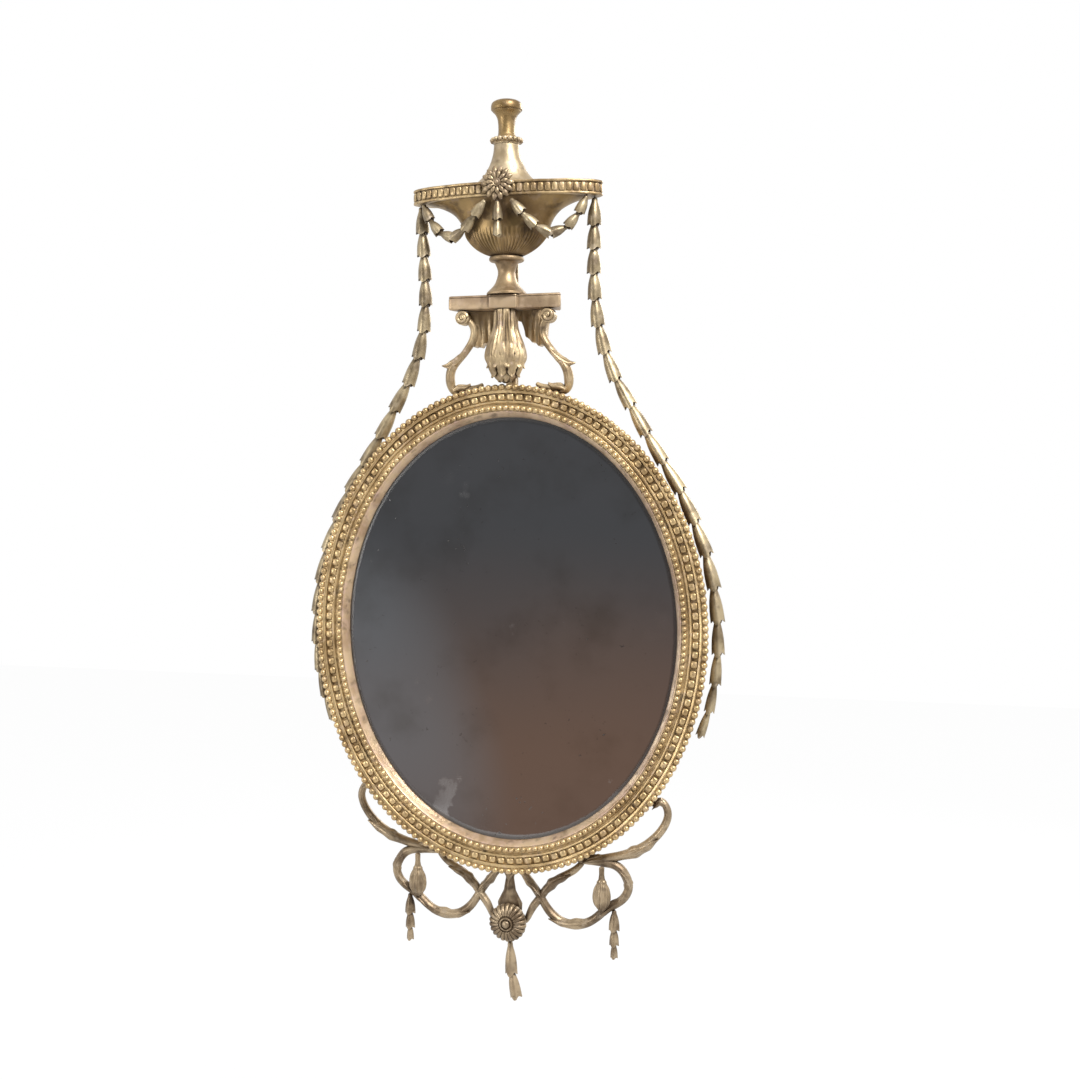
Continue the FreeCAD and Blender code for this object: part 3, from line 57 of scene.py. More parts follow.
frame_high = box_of("oval_frame")[1]
sight_half_width = frame_high[0] - MOULDING_WIDTH
sight_half_height = frame_high[2] - MOULDING_WIDTH


class Shade:
    """One output socket in a material's node tree. Arithmetic on it adds Math nodes."""

    def __init__(self, tree, socket=None):
        self.tree = tree
        self.socket = socket

    def node(self, kind, settings, inputs, output=0):
        """Socket of a new node of a kind: its settings are set first, then its inputs' values or links."""
        made = self.tree.nodes.new(kind)
        for name, value in settings.items():
            setattr(made, name, value)
        for name, value in inputs.items():
            if isinstance(value, Shade):
                self.tree.links.new(value.socket, made.inputs[name])
            else:
                made.inputs[name].default_value = value
        return Shade(self.tree, made.outputs[output])

    def maths(self, operation, first, second):
        """Result of one operation on two values."""
        return self.node("ShaderNodeMath", {"operation": operation}, {0: first, 1: second})

    def __add__(self, other):
        return self.maths("ADD", self, other)

    def __sub__(self, other):
        return self.maths("SUBTRACT", self, other)

    def __mul__(self, other):
        return self.maths("MULTIPLY", self, other)

    def __rsub__(self, other):
        return self.maths("SUBTRACT", other, self)

    __radd__ = __add__
    __rmul__ = __mul__

    def between(self, low, high):
        """0 below low, 1 above high and an eased rise between them."""
        return self.node("ShaderNodeMapRange", {"interpolation_type": "SMOOTHSTEP"},
                         {"Value": self, "From Min": low, "From Max": high})

    def noise(self, scale, detail=3.0, stretch=(1, 1, 1)):
        """Cloudy noise over the piece, about 1/scale metres a cloud."""
        place = self.node("ShaderNodeMapping", {}, {"Vector": self, "Scale": stretch})
        return self.node("ShaderNodeTexNoise", {}, {"Vector": place, "Scale": scale, "Detail": detail})

    def mix(self, low, high):
        """Colour low where this value is 0 and high where it is 1."""
        return self.node("ShaderNodeMix", {"data_type": "RGBA"}, {0: self, 6: low, 7: high}, 2)

    def recess(self, reach, inside=False):
        """1 in the open and 0 where faces within reach crowd the surface, or its edges if inside."""
        return self.node("ShaderNodeAmbientOcclusion", {"samples": 6, "inside": inside},
                         {"Distance": reach}, "AO")

    def along(self, axis):
        """One coordinate of a place."""
        return self.node("ShaderNodeSeparateXYZ", {}, {0: self}, axis)

    def clamped(self):
        """The value kept between 0 and 1."""
        return self.node("ShaderNodeClamp", {}, {"Value": self})


def new_finish(name):
    """Material with its shader, and its place on the object as a Shade."""
    material = bpy.data.materials.new(name)
    material.use_nodes = True
    tree = material.node_tree
    place = Shade(tree).node("ShaderNodeTexCoord", {}, {}, "Object")
    return material, tree.nodes["Principled BSDF"], place


def connect(shader, colour, roughness, metallic=None, relief=None, depth=0.0):
    """Link what varies over a surface to its shader, with relief as a bump of a depth in metres."""
    links = {"Base Color": colour, "Roughness": roughness}
    if metallic is not None:
        links["Metallic"] = metallic
    if relief is not None:
        links["Normal"] = relief.node("ShaderNodeBump", {},
                                      {"Strength": 0.6, "Distance": depth, "Height": relief})
    for name, shade in links.items():
        shade.tree.links.new(shade.socket, shader.inputs[name])


# Dark brown for dirt and painted shade in the gilding's hollows, and for the dark streaks of bare wood.
DEEP_BROWN = (0.050, 0.026, 0.009, 1)
BARE_WOOD = (0.21, 0.135, 0.07, 1)
HOLLOW_REACH = 0.013
EDGE_REACH = 0.0025
BARE_BEHIND = (-0.0090, -0.0070)


def gilding(name, leaf, shade, rubbed, wear, gloss, grime_and_shade_share):
    """Aged water gilding: leaf clouded from light to dark, rubbed to bole or gesso on its edges and in
    patches by its wear, dark brown in the hollows by a share, as dirt and as painted shade. The back is bare
    wood."""
    material, shader, place = new_finish(name)
    cloud = place.noise(34, 4)
    speck = place.noise(420, 3)
    patch = place.noise(120, 5)
    # Where faces crowd within the reach the gilding turns dark brown: dirt, and painted shade where shadow
    # falls.
    hollow = 1 - place.recess(HOLLOW_REACH).between(0.34, 0.96)
    edge = 1 - place.recess(EDGE_REACH, inside=True).between(0.25, 0.85)
    tone = cloud.between(0.36, 0.62).mix(shade, leaf)
    worn = patch.between(0.62 - 0.22 * wear, 0.74 - 0.1 * wear) * (0.35 + 0.65 * edge)
    gilt = worn.mix(tone, rubbed)
    hollow_shade_and_dirt = hollow * (grime_and_shade_share + 0.5 * (speck - 0.5))
    smeared = 0.6 * place.noise(75, 4).between(0.52, 0.74) * (1 - edge)
    dirt_and_shade_mask = (hollow_shade_and_dirt + smeared).clamped()
    behind = place.along("Y").between(*BARE_BEHIND)
    wood = (0.5 * cloud + 0.5 * speck).between(0.3, 0.7).mix(DEEP_BROWN, BARE_WOOD)
    connect(shader, behind.mix(dirt_and_shade_mask.mix(gilt, DEEP_BROWN), wood),
            roughness=gloss + 0.22 * dirt_and_shade_mask + 0.16 * (speck - 0.5) + 0.12 * worn + 0.3 * behind,
            metallic=0.66 * (1 - worn) * (1 - 0.75 * dirt_and_shade_mask) * (1 - behind),
            relief=0.65 * patch + 0.35 * speck, depth=0.0006)
    return material


frame_gilding = gilding("frame_gilding", (0.66, 0.485, 0.25, 1), (0.42, 0.285, 0.132, 1),
                        (0.56, 0.41, 0.29, 1), wear=0.5, gloss=0.36, grime_and_shade_share=0.24)


def hand_cut(points, amount):
    """Points moved by a slow mix of sines, as a carver's hand leaves a surface uneven."""
    wave = points[..., [1, 2, 0]] * 0.13 + points[..., [2, 0, 1]] * 0.071
    return points + amount * (np.sin(wave) + 0.6 * np.sin(2.7 * wave + 1.3)) / 1.6


def ring_solid(rings, closed=False):
    """Solid of rings of points in a row, closed on itself or with a fan of triangles over each end."""
    rows, columns = rings.shape[:2]
    points = rings.reshape(-1, 3)
    index = np.arange(rows * columns).reshape(rows, columns)
    if closed:
        index = np.concatenate([index, index[:1]])
    after = np.roll(index, -1, 1)
    quads = np.stack([index[:-1], index[1:], after[1:], after[:-1]], -1).reshape(-1, 4)
    if closed:
        return points, quads, np.zeros((0, 3), int)
    end = np.full(columns, rows * columns)
    fans = [np.stack([end, index[0], after[0]], -1), np.stack([end + 1, after[-1], index[-1]], -1)]
    middles = np.stack([rings[0].mean(0), rings[-1].mean(0)])
    return np.concatenate([points, middles]), quads, np.concatenate(fans)


def new_object(name, data):
    """New object in the scene."""
    made = bpy.data.objects.new(name, data)
    bpy.context.scene.collection.objects.link(made)
    return made


def piece(name, solids, finish, node):
    """Object of closed solids in millimetres, its faces turned outwards, which stands for a CAD node."""
    points, faces, base = [], [], 0
    for corners, four, three in solids:
        halves = np.concatenate([four[:, [0, 1, 2]], four[:, [0, 2, 3]], three])
        first, second, third = corners[halves].transpose(1, 0, 2)
        turn = -1 if np.einsum("ij,ij->", first, np.cross(second, third)) < 0 else 1
        points.append(corners)
        faces += (four[:, ::turn] + base).tolist() + (three[:, ::turn] + base).tolist()
        base += len(corners)
    mesh = bpy.data.meshes.new(name)
    mesh.from_pydata((np.concatenate(points) * MILLIMETRE).tolist(), [], faces, shade_flat=False)
    mesh.set_sharp_from_angle(angle=SHARP_EDGE)
    mesh.materials.append(finish)
    made = new_object(name, mesh)
    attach(made, "mirror")
    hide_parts(node)


def softened(corners, steps=4, closed=True):
    """Outline of (across, up, softness) corners, each cut back by its softness and rounded by a parabola."""
    corners = np.array(corners, float)
    here, soft = corners[:, :2], corners[:, 2:3]
    legs = [np.roll(here, 1, 0) - here, np.roll(here, -1, 0) - here]
    ends = []
    for leg in legs:
        length = np.linalg.norm(leg, axis=1, keepdims=True) + 1e-9
        ends.append(here + leg / length * np.minimum(soft, 0.48 * length))
    if not closed:
        ends = [np.concatenate([here[:1], end[1:-1], here[-1:]]) for end in ends]
    share = np.linspace(0, 1, steps)[None, :, None]
    curve = (1 - share) ** 2 * ends[0][:, None] + 2 * share * (1 - share) * here[:, None] \
        + share ** 2 * ends[1][:, None]
    return curve.reshape(-1, 2)


def points_of(x, y, z):
    """Points from their three coordinates, which are spread to one shape."""
    return np.stack(np.broadcast_arrays(x, y, z), -1)


def unit(vectors):
    """Vectors made one long."""
    return vectors / np.linalg.norm(vectors, axis=-1, keepdims=True)


def oval(angles, offset):
    """Points at an offset from the sight edge, with their outward and onward unit vectors."""
    half_width = sight_half_width + offset
    half_height = sight_half_height + offset
    points = points_of(half_width * np.cos(angles), 0, half_height * np.sin(angles))
    onward = unit(points_of(-half_width * np.sin(angles), 0, half_height * np.cos(angles)))
    outward = points_of(onward[..., 2], 0, -onward[..., 0])
    return points, outward, onward


def full_turn(count):
    """Angles of even steps round a full turn."""
    return np.linspace(0, 2 * np.pi, count, endpoint=False)


def moulding(corners, unevenness):
    """Ring whose section is an outline of (offset, depth, softness) corners, carried round the oval."""
    offset, depth = softened(corners).T
    grid = oval(full_turn(RING_STEPS)[:, None], offset)[0] - depth[:, None] * [0, 1, 0]
    return ring_solid(hand_cut(grid, unevenness), closed=True)


frame_section = [
    (8, 24, 0.2), (8, 37, 0.4), (15.0, 37, 0.5), (15.6, 35.3, 0.7), (17.8, 35.2, 0.7), (18.2, 38.0, 0.8),
    (20.7, 38.6, 0.8), (21, 34.2, 0.5), (30.6, 34.2, 0.5), (30.6, 39.4, 0.8), (34.2, 40.6, 1.0),
    (34.2, 39, 0.5), (40.9, 39, 1.2), (40.4, 35, 1.5), (36, 24, 3), (36, 6, 1), (12, 6, 1), (12, 24, 0.2)]
piece("gilt_frame", [moulding(frame_section, unevenness=0.2)], frame_gilding, "oval_frame")

# Sight slip
# A separate bevelled ring between the carved courses and the glass, set inside the frame's ring.
# Its gesso is thin and much handled, so it is paler and pinker than the leaf beside it.
slip_gilding = gilding("slip_gilding", (0.66, 0.485, 0.30, 1), (0.46, 0.31, 0.185, 1),
                       (0.54, 0.37, 0.30, 1), wear=0.9, gloss=0.36, grime_and_shade_share=0.6)
slip_section = [(0.05, 24.05, 0.1), (0.05, 25.5, 0.6), (3.4, 32.5, 2.5), (6.4, 36.9, 0.8), (7.7, 36.9, 0.3),
                (7.7, 24.05, 0.1)]
piece("gilt_slip", [moulding(slip_section, unevenness=0.12)], slip_gilding, "sight_slip")

# Pearl course, block course and outer beads
# Little carved or cast ornaments glued along the moulding's flats and gilded with it.
# Each differs a little in size and seat, as hand work does.
chance = np.random.default_rng(17)
SEAT_SHIFT = 4.0


def dome(half_along, half_across, height, squareness, sides=12, flatness=0.0):
    """Pillow over a rounded-square base: rings of a superellipse that shrink as they rise to a crown,
    less so the flatter its top."""
    turn = full_turn(sides)
    reach = (np.abs(np.cos(turn)) ** squareness + np.abs(np.sin(turn)) ** squareness) ** (-1 / squareness)
    rise = np.array([0.0, 0.45, 0.8, 0.97])[:, None]
    shrink = (np.array([1.0, 0.93, 0.66, 0.26]) + flatness * np.array([0.0, 0.04, 0.25, 0.5]))[:, None]
    return ring_solid(points_of(shrink * half_across * reach * np.cos(turn), -height * rise,
                                shrink * half_along * reach * np.sin(turn)))


def way_along(points):
    """Length of the way along a line of points, at each of them."""
    return np.concatenate([[0], np.cumsum(np.linalg.norm(np.diff(points, axis=0), axis=1))])


def even_angles(offset, pitch):
    """Angles of stations spaced evenly round the oval, about one pitch apart."""
    angles = np.linspace(0, 2 * np.pi, 4001)
    lengths = way_along(oval(angles, offset)[0])
    count = round(lengths[-1] / pitch)
    return np.interp(np.arange(count) * lengths[-1] / count, lengths, angles)


def copies(solid, origins, axes):
    """Solid repeated at origins, each copy turned to three axes that are the columns of a matrix."""
    points, quads, triangles = solid
    placed = origins[:, None] + np.einsum("nij,pj->npi", axes, points)
    shift = (np.arange(len(origins)) * len(points))[:, None, None]
    return placed.reshape(-1, 3), (quads + shift).reshape(-1, 4), (triangles + shift).reshape(-1, 3)


def course(solid, offset, depth, pitch, spread):
    """Row of one ornament round the oval, each copy a little larger or smaller by the spread."""
    angles = even_angles(offset, pitch)
    points, outward, onward = oval(angles, offset)
    sizes = 1 - spread * chance.random((len(angles), 3))
    axes = np.stack([outward, points_of(0 * angles, 1, 0), onward], -1) * sizes[:, None]
    points = points + outward * spread * (chance.random((len(angles), 1)) - 0.5) * SEAT_SHIFT
    return copies(solid, points + [0, -depth, 0], axes)


pearl = dome(half_along=3.9, half_across=3.7, height=4.3, squareness=2.0)
block = dome(half_along=5.1, half_across=4.75, height=5.3, squareness=5.0, sides=16, flatness=0.75)
bead = dome(half_along=4.5, half_across=4.3, height=5.0, squareness=2.1)
piece("gilt_pearls", [course(pearl, offset=11.5, depth=36.9, pitch=8.1, spread=0.12)],
      frame_gilding, "pearl_course")
piece("gilt_blocks", [course(block, offset=25.8, depth=33.4, pitch=12.3, spread=0.08)],
      frame_gilding, "block_course")
piece("gilt_beads", [course(bead, offset=38.6, depth=38.6, pitch=9.2, spread=0.12)],
      frame_gilding, "outer_beads")

# Mirror plate
# Old glass silvered on its back and laid in the rebate behind the slip.
# The silver has dulled to grey, with foxing in specks and in a band along the edge, and pale blotches
# painted on it as a painted reflection.
CLEAR_SILVER = (0.56, 0.57, 0.58, 1)
DULL_SILVER = (0.44, 0.44, 0.43, 1)
REFLECTION_PALE = (0.62, 0.62, 0.62, 1)
DARK_FOXING = (0.15, 0.14, 0.13, 1)


def dress(finish, *names):
    """Give CAD nodes that keep their own shape a finish."""
    for name in names:
        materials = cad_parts[name].data.materials
        materials.clear()
        materials.append(finish)


glass_finish, shader, place = new_finish("old_silvering")
speckle = place.noise(190, 4).between(0.66, 0.74)
bloom = place.noise(12, 5).between(0.45, 0.8)
foxed = speckle * place.noise(26, 3).between(0.5, 0.68)
# Pale blotches painted on the silver: a painted reflection of light patches in the room.
pale_reflection_blotch = place.noise(16, 6).between(0.63, 0.68) * place.noise(5, 2).between(0.46, 0.6)
silver = bloom.mix(CLEAR_SILVER, DULL_SILVER)
dulled = (0.35 * pale_reflection_blotch).mix(silver, REFLECTION_PALE)
across = place.along("X") * (1 / (sight_half_width * MILLIMETRE))
up = place.along("Z") * (1 / (sight_half_height * MILLIMETRE))
border = (across * across + up * up + 0.03 * (place.noise(30, 4) - 0.5)).between(0.945, 0.985)
spent = (foxed + 0.85 * border).clamped()
connect(shader, spent.mix(dulled, DARK_FOXING), 0.018 + 0.05 * bloom + 0.3 * spent + 0.14 * pale_reflection_blotch)
shader.inputs["Metallic"].default_value = 1.0
dress(glass_finish, "mirror_plate")

# Back of the frame
# Softwood wedges hold the glass, three softwood planks close the back and brads hold the planks.
# Felt pads keep the whole off the wall. All of it is bare and darkened by age.
CORNER_DARK = (0.05, 0.033, 0.02, 1)
FELT_DARK = (0.055, 0.06, 0.05, 1)
FELT_PALE = (0.13, 0.135, 0.115, 1)


def timber(name, pale, dark):
    """Sawn softwood with its grain upright: long streaks, fine pores and darkening in the corners."""
    material, shader, place = new_finish(name)
    streak = place.noise(9, 4, (9, 9, 0.5))
    pore = place.noise(60, 3, (8, 8, 0.4))
    # Darker where other faces crowd within 2 cm.
    crowded_dark = 1 - place.recess(0.02).between(0.3, 0.95)
    board = (0.65 * streak + 0.35 * pore).between(0.36, 0.64).mix(dark, pale)
    connect(shader, (0.75 * crowded_dark).mix(board, CORNER_DARK), 0.72 + 0.2 * (pore - 0.5),
            relief=pore, depth=0.0004)
    return material


pale_pine = timber("pale_pine", (0.36, 0.22, 0.115, 1), (0.17, 0.095, 0.045, 1))
old_pine = timber("old_pine", (0.31, 0.185, 0.095, 1), (0.15, 0.08, 0.04, 1))
brown_pine = timber("brown_pine", (0.34, 0.20, 0.10, 1), (0.14, 0.08, 0.037, 1))
dress(pale_pine, "backboard_left", "glazing_wedges")
dress(old_pine, "backboard_centre")
dress(brown_pine, "backboard_right")
felt, shader, place = new_finish("grey_felt")
fibre = place.noise(900, 4)
connect(shader, fibre.between(0.3, 0.7).mix(FELT_DARK, FELT_PALE),
        0.9 + 0.1 * (fibre - 0.5), relief=fibre, depth=0.0006)
dress(felt, "wall_pads")

# Hangers, strap, screws and wires
# Brass ring plates on the frame's sides carry the mirror, and an iron strap ties the crest to the ring.
# The strap is toned like old gold, so that it hardly shows, and the husks are threaded on soft iron wire.


def worn_metal(name, bright, dull, tarnish_share, gloss):
    """Metal with dull tarnish in clouds and in its corners, and fine handling scratches."""
    material, shader, place = new_finish(name)
    cloud = place.noise(150, 5).between(0.62 - 0.3 * tarnish_share, 0.8 - 0.2 * tarnish_share)
    corner = 1 - place.recess(0.003).between(0.3, 0.9)
    scratch = place.noise(500, 2, (1, 6, 1))
    tarnish = (cloud + 0.8 * corner).clamped()
    connect(shader, tarnish.mix(bright, dull),
            roughness=gloss + 0.35 * tarnish + 0.12 * (scratch - 0.5),
            metallic=0.95 - 0.6 * tarnish, relief=scratch, depth=0.00008)
    return material


brass = worn_metal("tarnished_brass", (0.62, 0.43, 0.16, 1), (0.16, 0.095, 0.035, 1),
                   tarnish_share=0.5, gloss=0.3)
iron = worn_metal("rusted_iron", (0.20, 0.19, 0.18, 1), (0.11, 0.045, 0.02, 1),
                  tarnish_share=0.8, gloss=0.42)
dress(brass, "ring_plate_left", "ring_plate_right", "hang_ring_left", "hang_ring_right", "ring_screws")
toned_iron = worn_metal("toned_iron", (0.44, 0.34, 0.21, 1), (0.24, 0.17, 0.10, 1),
                        tarnish_share=0.5, gloss=0.5)
dress(toned_iron, "crest_strap", "strap_screws")
dress(iron, "backboard_brads", "chain_wire_left", "chain_wire_right", "festoon_wires", "drop_wires")

# Console board
# The shaped board behind the urn's stand, its two wings fluted like a fan with a ragged lower edge.
# Carved from one plank and glued behind the bud, with a tenon down to the frame.
# Painted light: the wings' gilding is lighter than the legs', with little painted shade in its hollows,
# standing for light that reaches under the plinth.
lit_board_gilding = gilding("lit_board_gilding", (0.70, 0.53, 0.31, 1), (0.47, 0.34, 0.19, 1),
                        (0.55, 0.42, 0.30, 1), wear=0.5, gloss=0.42, grime_and_shade_share=0.35)
board_low, board_high = box_of("console_board")
BOARD_BACK = 6.0
BOARD_FRONT = -board_low[1]
FLUTE_PITCH = 9.4
FLUTE_START = 16.0
SCALLOP_START = 19.0
SCALLOP_DEPTH = 2.6
WING_START = 9.0
WING_END = 48.5
WING_EDGE_ACROSS = (9, 15, 17.5, 20, 25, 31, 38, 44, 48, 51)
WING_EDGE_HEIGHT = (404, 402, 396, 386, 380, 377, 373, 371, 372.5, 379)


def flipped(solid):
    """The same solid on the other side of the middle plane."""
    return solid[0] * [-1, 1, 1], solid[1], solid[2]


def fan_wing():
    """Wing as sections across it: from the plinth down to an edge that drops outwards in little scallops,
    its front swung forward towards the leg and hollowed in flutes that spread towards that edge."""
    across = np.linspace(WING_START, WING_END, 80)[:, None]
    down = np.linspace(0, 1, 26)[None]
    flute = np.abs(np.cos(np.pi * (across - FLUTE_START) / FLUTE_PITCH)) ** 1.6
    scallop = SCALLOP_DEPTH * (1 - flute) * (across > SCALLOP_START)
    edge = np.interp(across, WING_EDGE_ACROSS, WING_EDGE_HEIGHT) - scallop
    height = board_high[2] - 0.2 + (edge - board_high[2]) * down
    swing = BOARD_FRONT - 3 + 10 * ((across - WING_START) / (WING_END - WING_START)) ** 1.5
    front = swing - (0.6 + 2.0 * down) * (1 - flute) * np.minimum(1, 4 * down) - 1.2 * down ** 6
    spread = across * (1 + 0.16 * (across / WING_END) ** 2 * (1 - down) ** 3)
    face = points_of(spread, -front, height)
    back = points_of(spread, -BOARD_BACK - 0.5, height)
    return ring_solid(hand_cut(np.concatenate([face, back[:, ::-1]], 1), 0.15))


def post(corners, low, high, foot_share):
    """Upright bar between two heights, its width at the foot a share of its width at the top. Its plan is
    an outline of (across, depth, softness) corners."""
    across, depth = softened(corners, 5).T
    heights = np.linspace(low, high, 8)[:, None]
    widths = np.linspace(foot_share, 1, 8)[:, None]
    return ring_solid(points_of(across * widths, -depth, heights))


wing = fan_wing()
tenon = post([(-7.4, 6.2, 1), (7.4, 6.2, 1), (7.4, 14.8, 2), (-7.4, 14.8, 2)],
             board_low[2], board_high[2] - 0.3, foot_share=0.9)
piece("fluted_board", [wing, flipped(wing), tenon], lit_board_gilding, "console_board")

# Console legs
# Two thin scrolled brackets carved in the round: a rolled volute under the plinth, a ridged double curve
# with a leaf at its knee, and a curled foot on the frame.
crest_gilding = gilding("crest_gilding", (0.58, 0.445, 0.265, 1), (0.34, 0.245, 0.14, 1),
                        (0.48, 0.36, 0.26, 1), wear=0.5, gloss=0.42, grime_and_shade_share=0.85)
CONSOLE_HALF_WIDTH = 62.0
FOOT_ANGLE = np.radians(75.6)
FOOT_OFFSET = 41.15
LEG_RADIUS = 4.9
LEG_DEPTH = 25.9
FOOT_DEPTH = 18.85
VOLUTE_RADIUS = 9.4
VOLUTE_BACK = 28.0
VOLUTE_FRONT = 46.0


def smooth_line(points, count):
    """Natural cubic spline by chord length through points, and where the points lie on it."""
    points = np.array(points, float)
    knots = way_along(points)
    gaps = np.diff(knots)
    slopes = np.diff(points, axis=0) / gaps[:, None]
    inner = np.arange(1, len(points) - 1)
    system = np.eye(len(points))
    system[inner, inner - 1] = gaps[:-1]
    system[inner, inner] = 2 * (gaps[:-1] + gaps[1:])
    system[inner, inner + 1] = gaps[1:]
    change = np.zeros_like(points)
    change[1:-1] = 6 * np.diff(slopes, axis=0)
    bend = np.linalg.solve(system, change)
    at = np.linspace(0, knots[-1], count)
    span = np.clip(np.searchsorted(knots, at, side="right") - 1, 0, len(gaps) - 1)
    step = (at - knots[span])[:, None]
    gap = gaps[span][:, None]
    line = points[span] + step * (slopes[span] - gap * (2 * bend[span] + bend[span + 1]) / 6) \
        + step ** 2 * bend[span] / 2 + step ** 3 * (bend[span + 1] - bend[span]) / (6 * gap)
    return line, knots / knots[-1]


def member(points, radii, count, ridge):
    """Round carved member along a smooth line through points, its thickness eased between radii, with a
    ridge along its front and rounded ends."""
    line, knots = smooth_line(points, count)
    share = np.linspace(0, 1, count)
    round_end = np.sqrt(np.clip(1 - np.abs(2 * share - 1) ** 40, 0.15, 1))
    thick = (np.interp(share, knots, radii) * round_end)[:, None]
    onward = unit(np.gradient(line, axis=0))
    side = unit(np.cross(onward, [0, 1, 0]))
    front = np.cross(onward, side)
    turn = full_turn(20)[None]
    reach = thick * (0.94 + ridge * np.clip(np.sin(turn), 0, 1) ** 8 + 0.06 * np.cos(2 * turn))
    rings = line[:, None] + side[:, None] * (reach * np.cos(turn))[..., None] \
        + front[:, None] * (reach * np.sin(turn))[..., None]
    return ring_solid(hand_cut(rings, 0.25))


def leaf(points, across, widths, thickness, cup=0.0, ribs=0, rib_depth=0.0, lobes=0, count=24):
    """Leaf along a smooth line: a lens across it, cupped towards its edges, ribbed on its front and
    notched into lobes along its sides. It faces along the cross product of its line and its width."""
    line = smooth_line(points, count)[0]
    share = np.linspace(0, 1, count)[:, None]
    onward = unit(np.gradient(line, axis=0))
    across = np.broadcast_to(np.array(across, float), line.shape)
    front = unit(np.cross(onward, across))
    turn = full_turn(28)[None]
    side = np.cos(turn)
    notch = 1 - 0.34 * share * (0.5 + 0.5 * np.cos(2 * np.pi * lobes * share)) if lobes else 1.0
    half = np.interp(share[:, 0], np.linspace(0, 1, len(widths)), widths)[:, None] * notch
    rise = np.sin(turn)
    rib = rib_depth * np.cos(np.pi * ribs * side) * np.clip(rise, 0, 1) * np.sin(np.pi * share) ** 0.5
    thin = np.sqrt(np.clip(1 - 0.75 * share ** 4, 0.05, 1))
    lift = thickness * rise * thin + rib + cup * half * side ** 2
    rings = line[:, None] + across[:, None] * (half * side)[..., None] + front[:, None] * lift[..., None]
    return ring_solid(rings)


def curl(centre_x, centre_z):
    """Rounded bead that winds in from the leg over the volute's front to its eye, one turn and a half."""
    wind = np.linspace(np.pi, -2 * np.pi, 13)
    reach = VOLUTE_RADIUS * np.linspace(0.82, 0.22, 13)
    line = points_of(centre_x + reach * np.cos(wind), 2.2 - VOLUTE_FRONT, centre_z + reach * np.sin(wind))
    return member(line, np.linspace(2.4, 1.7, 13), 80, ridge=0.1)


def volute(centre_x, centre_z):
    """Roll lying front to back, waisted like a bolster, with a sunk end and a button in it."""
    radius = np.array([0.5, 0.97, 0.99, 0.9, 0.88, 0.92, 0.99, 0.97, 0.9, 0.8, 0.32, 0.28, 0.16])
    along = np.array([0.0, 0.03, 0.12, 0.3, 0.5, 0.66, 0.8, 0.86, 0.88, 0.86, 0.84, 0.95, 0.99])
    turn = full_turn(32)
    reach = VOLUTE_RADIUS * radius[:, None]
    depth = VOLUTE_BACK + (VOLUTE_FRONT - VOLUTE_BACK) * along[:, None]
    return ring_solid(points_of(centre_x + reach * np.cos(turn), -depth, centre_z + reach * np.sin(turn)))


def both_sides(name, solids, finish, node):
    """A piece on the right and its twin on the left."""
    piece(f"{name}_right", solids, finish, f"{node}_right")
    piece(f"{name}_left", [flipped(solid) for solid in solids], finish, f"{node}_left")


plinth_base = box_of("plinth")[0][2]
foot = oval(np.array([FOOT_ANGLE]), FOOT_OFFSET)[0][0] - [0, FOOT_DEPTH, 0]
volute_place = (CONSOLE_HALF_WIDTH * 0.93, plinth_base - VOLUTE_RADIUS - 0.3)
leg_span = volute_place[1] - foot[2]
LEG_WAY = ((0.88, 1.0), (0.76, 0.89), (0.76, 0.76), (0.88, 0.62), (1.03, 0.5), (1.25, 0.33), (1.3, 0.18),
           (1.24, 0.05))
LEG_DEPTHS = (VOLUTE_BACK + 4, 27, LEG_DEPTH, LEG_DEPTH, LEG_DEPTH, LEG_DEPTH, 22.4, FOOT_DEPTH)
LEG_SHARES = np.array([1.0, 1.05, 1.1, 0.98, 0.95, 1.25, 1.3, 1.1, 0.95])
leg_points = [(CONSOLE_HALF_WIDTH * across, -depth, foot[2] + leg_span * rise)
              for (across, rise), depth in zip(LEG_WAY, LEG_DEPTHS)]
leg_points.append(foot)
knee = np.array([CONSOLE_HALF_WIDTH * 1.25, -LEG_DEPTH, foot[2] + leg_span * 0.33])
knee_leaf = leaf(knee + [(-21, -2, 24), (-8, -4, 11), (4, -3, 4.5), (13, -1, 5)], (0.35, 0, 0.94),
                 (2.2, 5.4, 6.2, 1.0), thickness=3.0, cup=-0.2, ribs=3, rib_depth=0.6)
foot_leaf = leaf(foot + [(11, -3, 4), (2, -5, 9), (-8, -4, 9.5), (-13, -3, 13)], (-0.2, -0.5, -0.84),
                 (3, 5.4, 5, 1.2), thickness=2.6, cup=-0.2, ribs=3, rib_depth=0.5)
toe_lift = np.array([1, 3.4, 3, 3.4, 6])[:, None] * [0, 0, 1]
toe = oval(np.radians([75.6, 77.4, 79.2, 80.8, 82.2]), FOOT_OFFSET)[0] + toe_lift
both_sides("carved_leg", [
    member(leg_points, LEG_RADIUS * LEG_SHARES, 90, ridge=0.28),
    volute(*volute_place),
    curl(*volute_place),
    knee_leaf,
    member(toe - [0, FOOT_DEPTH + 0.5, 0], np.array([4.6, 4.8, 4.2, 3.6, 2.6]), 40, ridge=0.15),
    foot_leaf,
], crest_gilding, "console_leg")

# Acanthus bud
# The boss between the legs: long ribbed leaves hang from the plinth round a turned core, flare into lobed
# tips and show a second ring of tips below. Carved in one block with its back planed to the board.
bud_low, bud_high = box_of("acanthus_bud")
BUD_AXIS_DEPTH = 37.0
BUD_BACK = BOARD_FRONT + 0.6


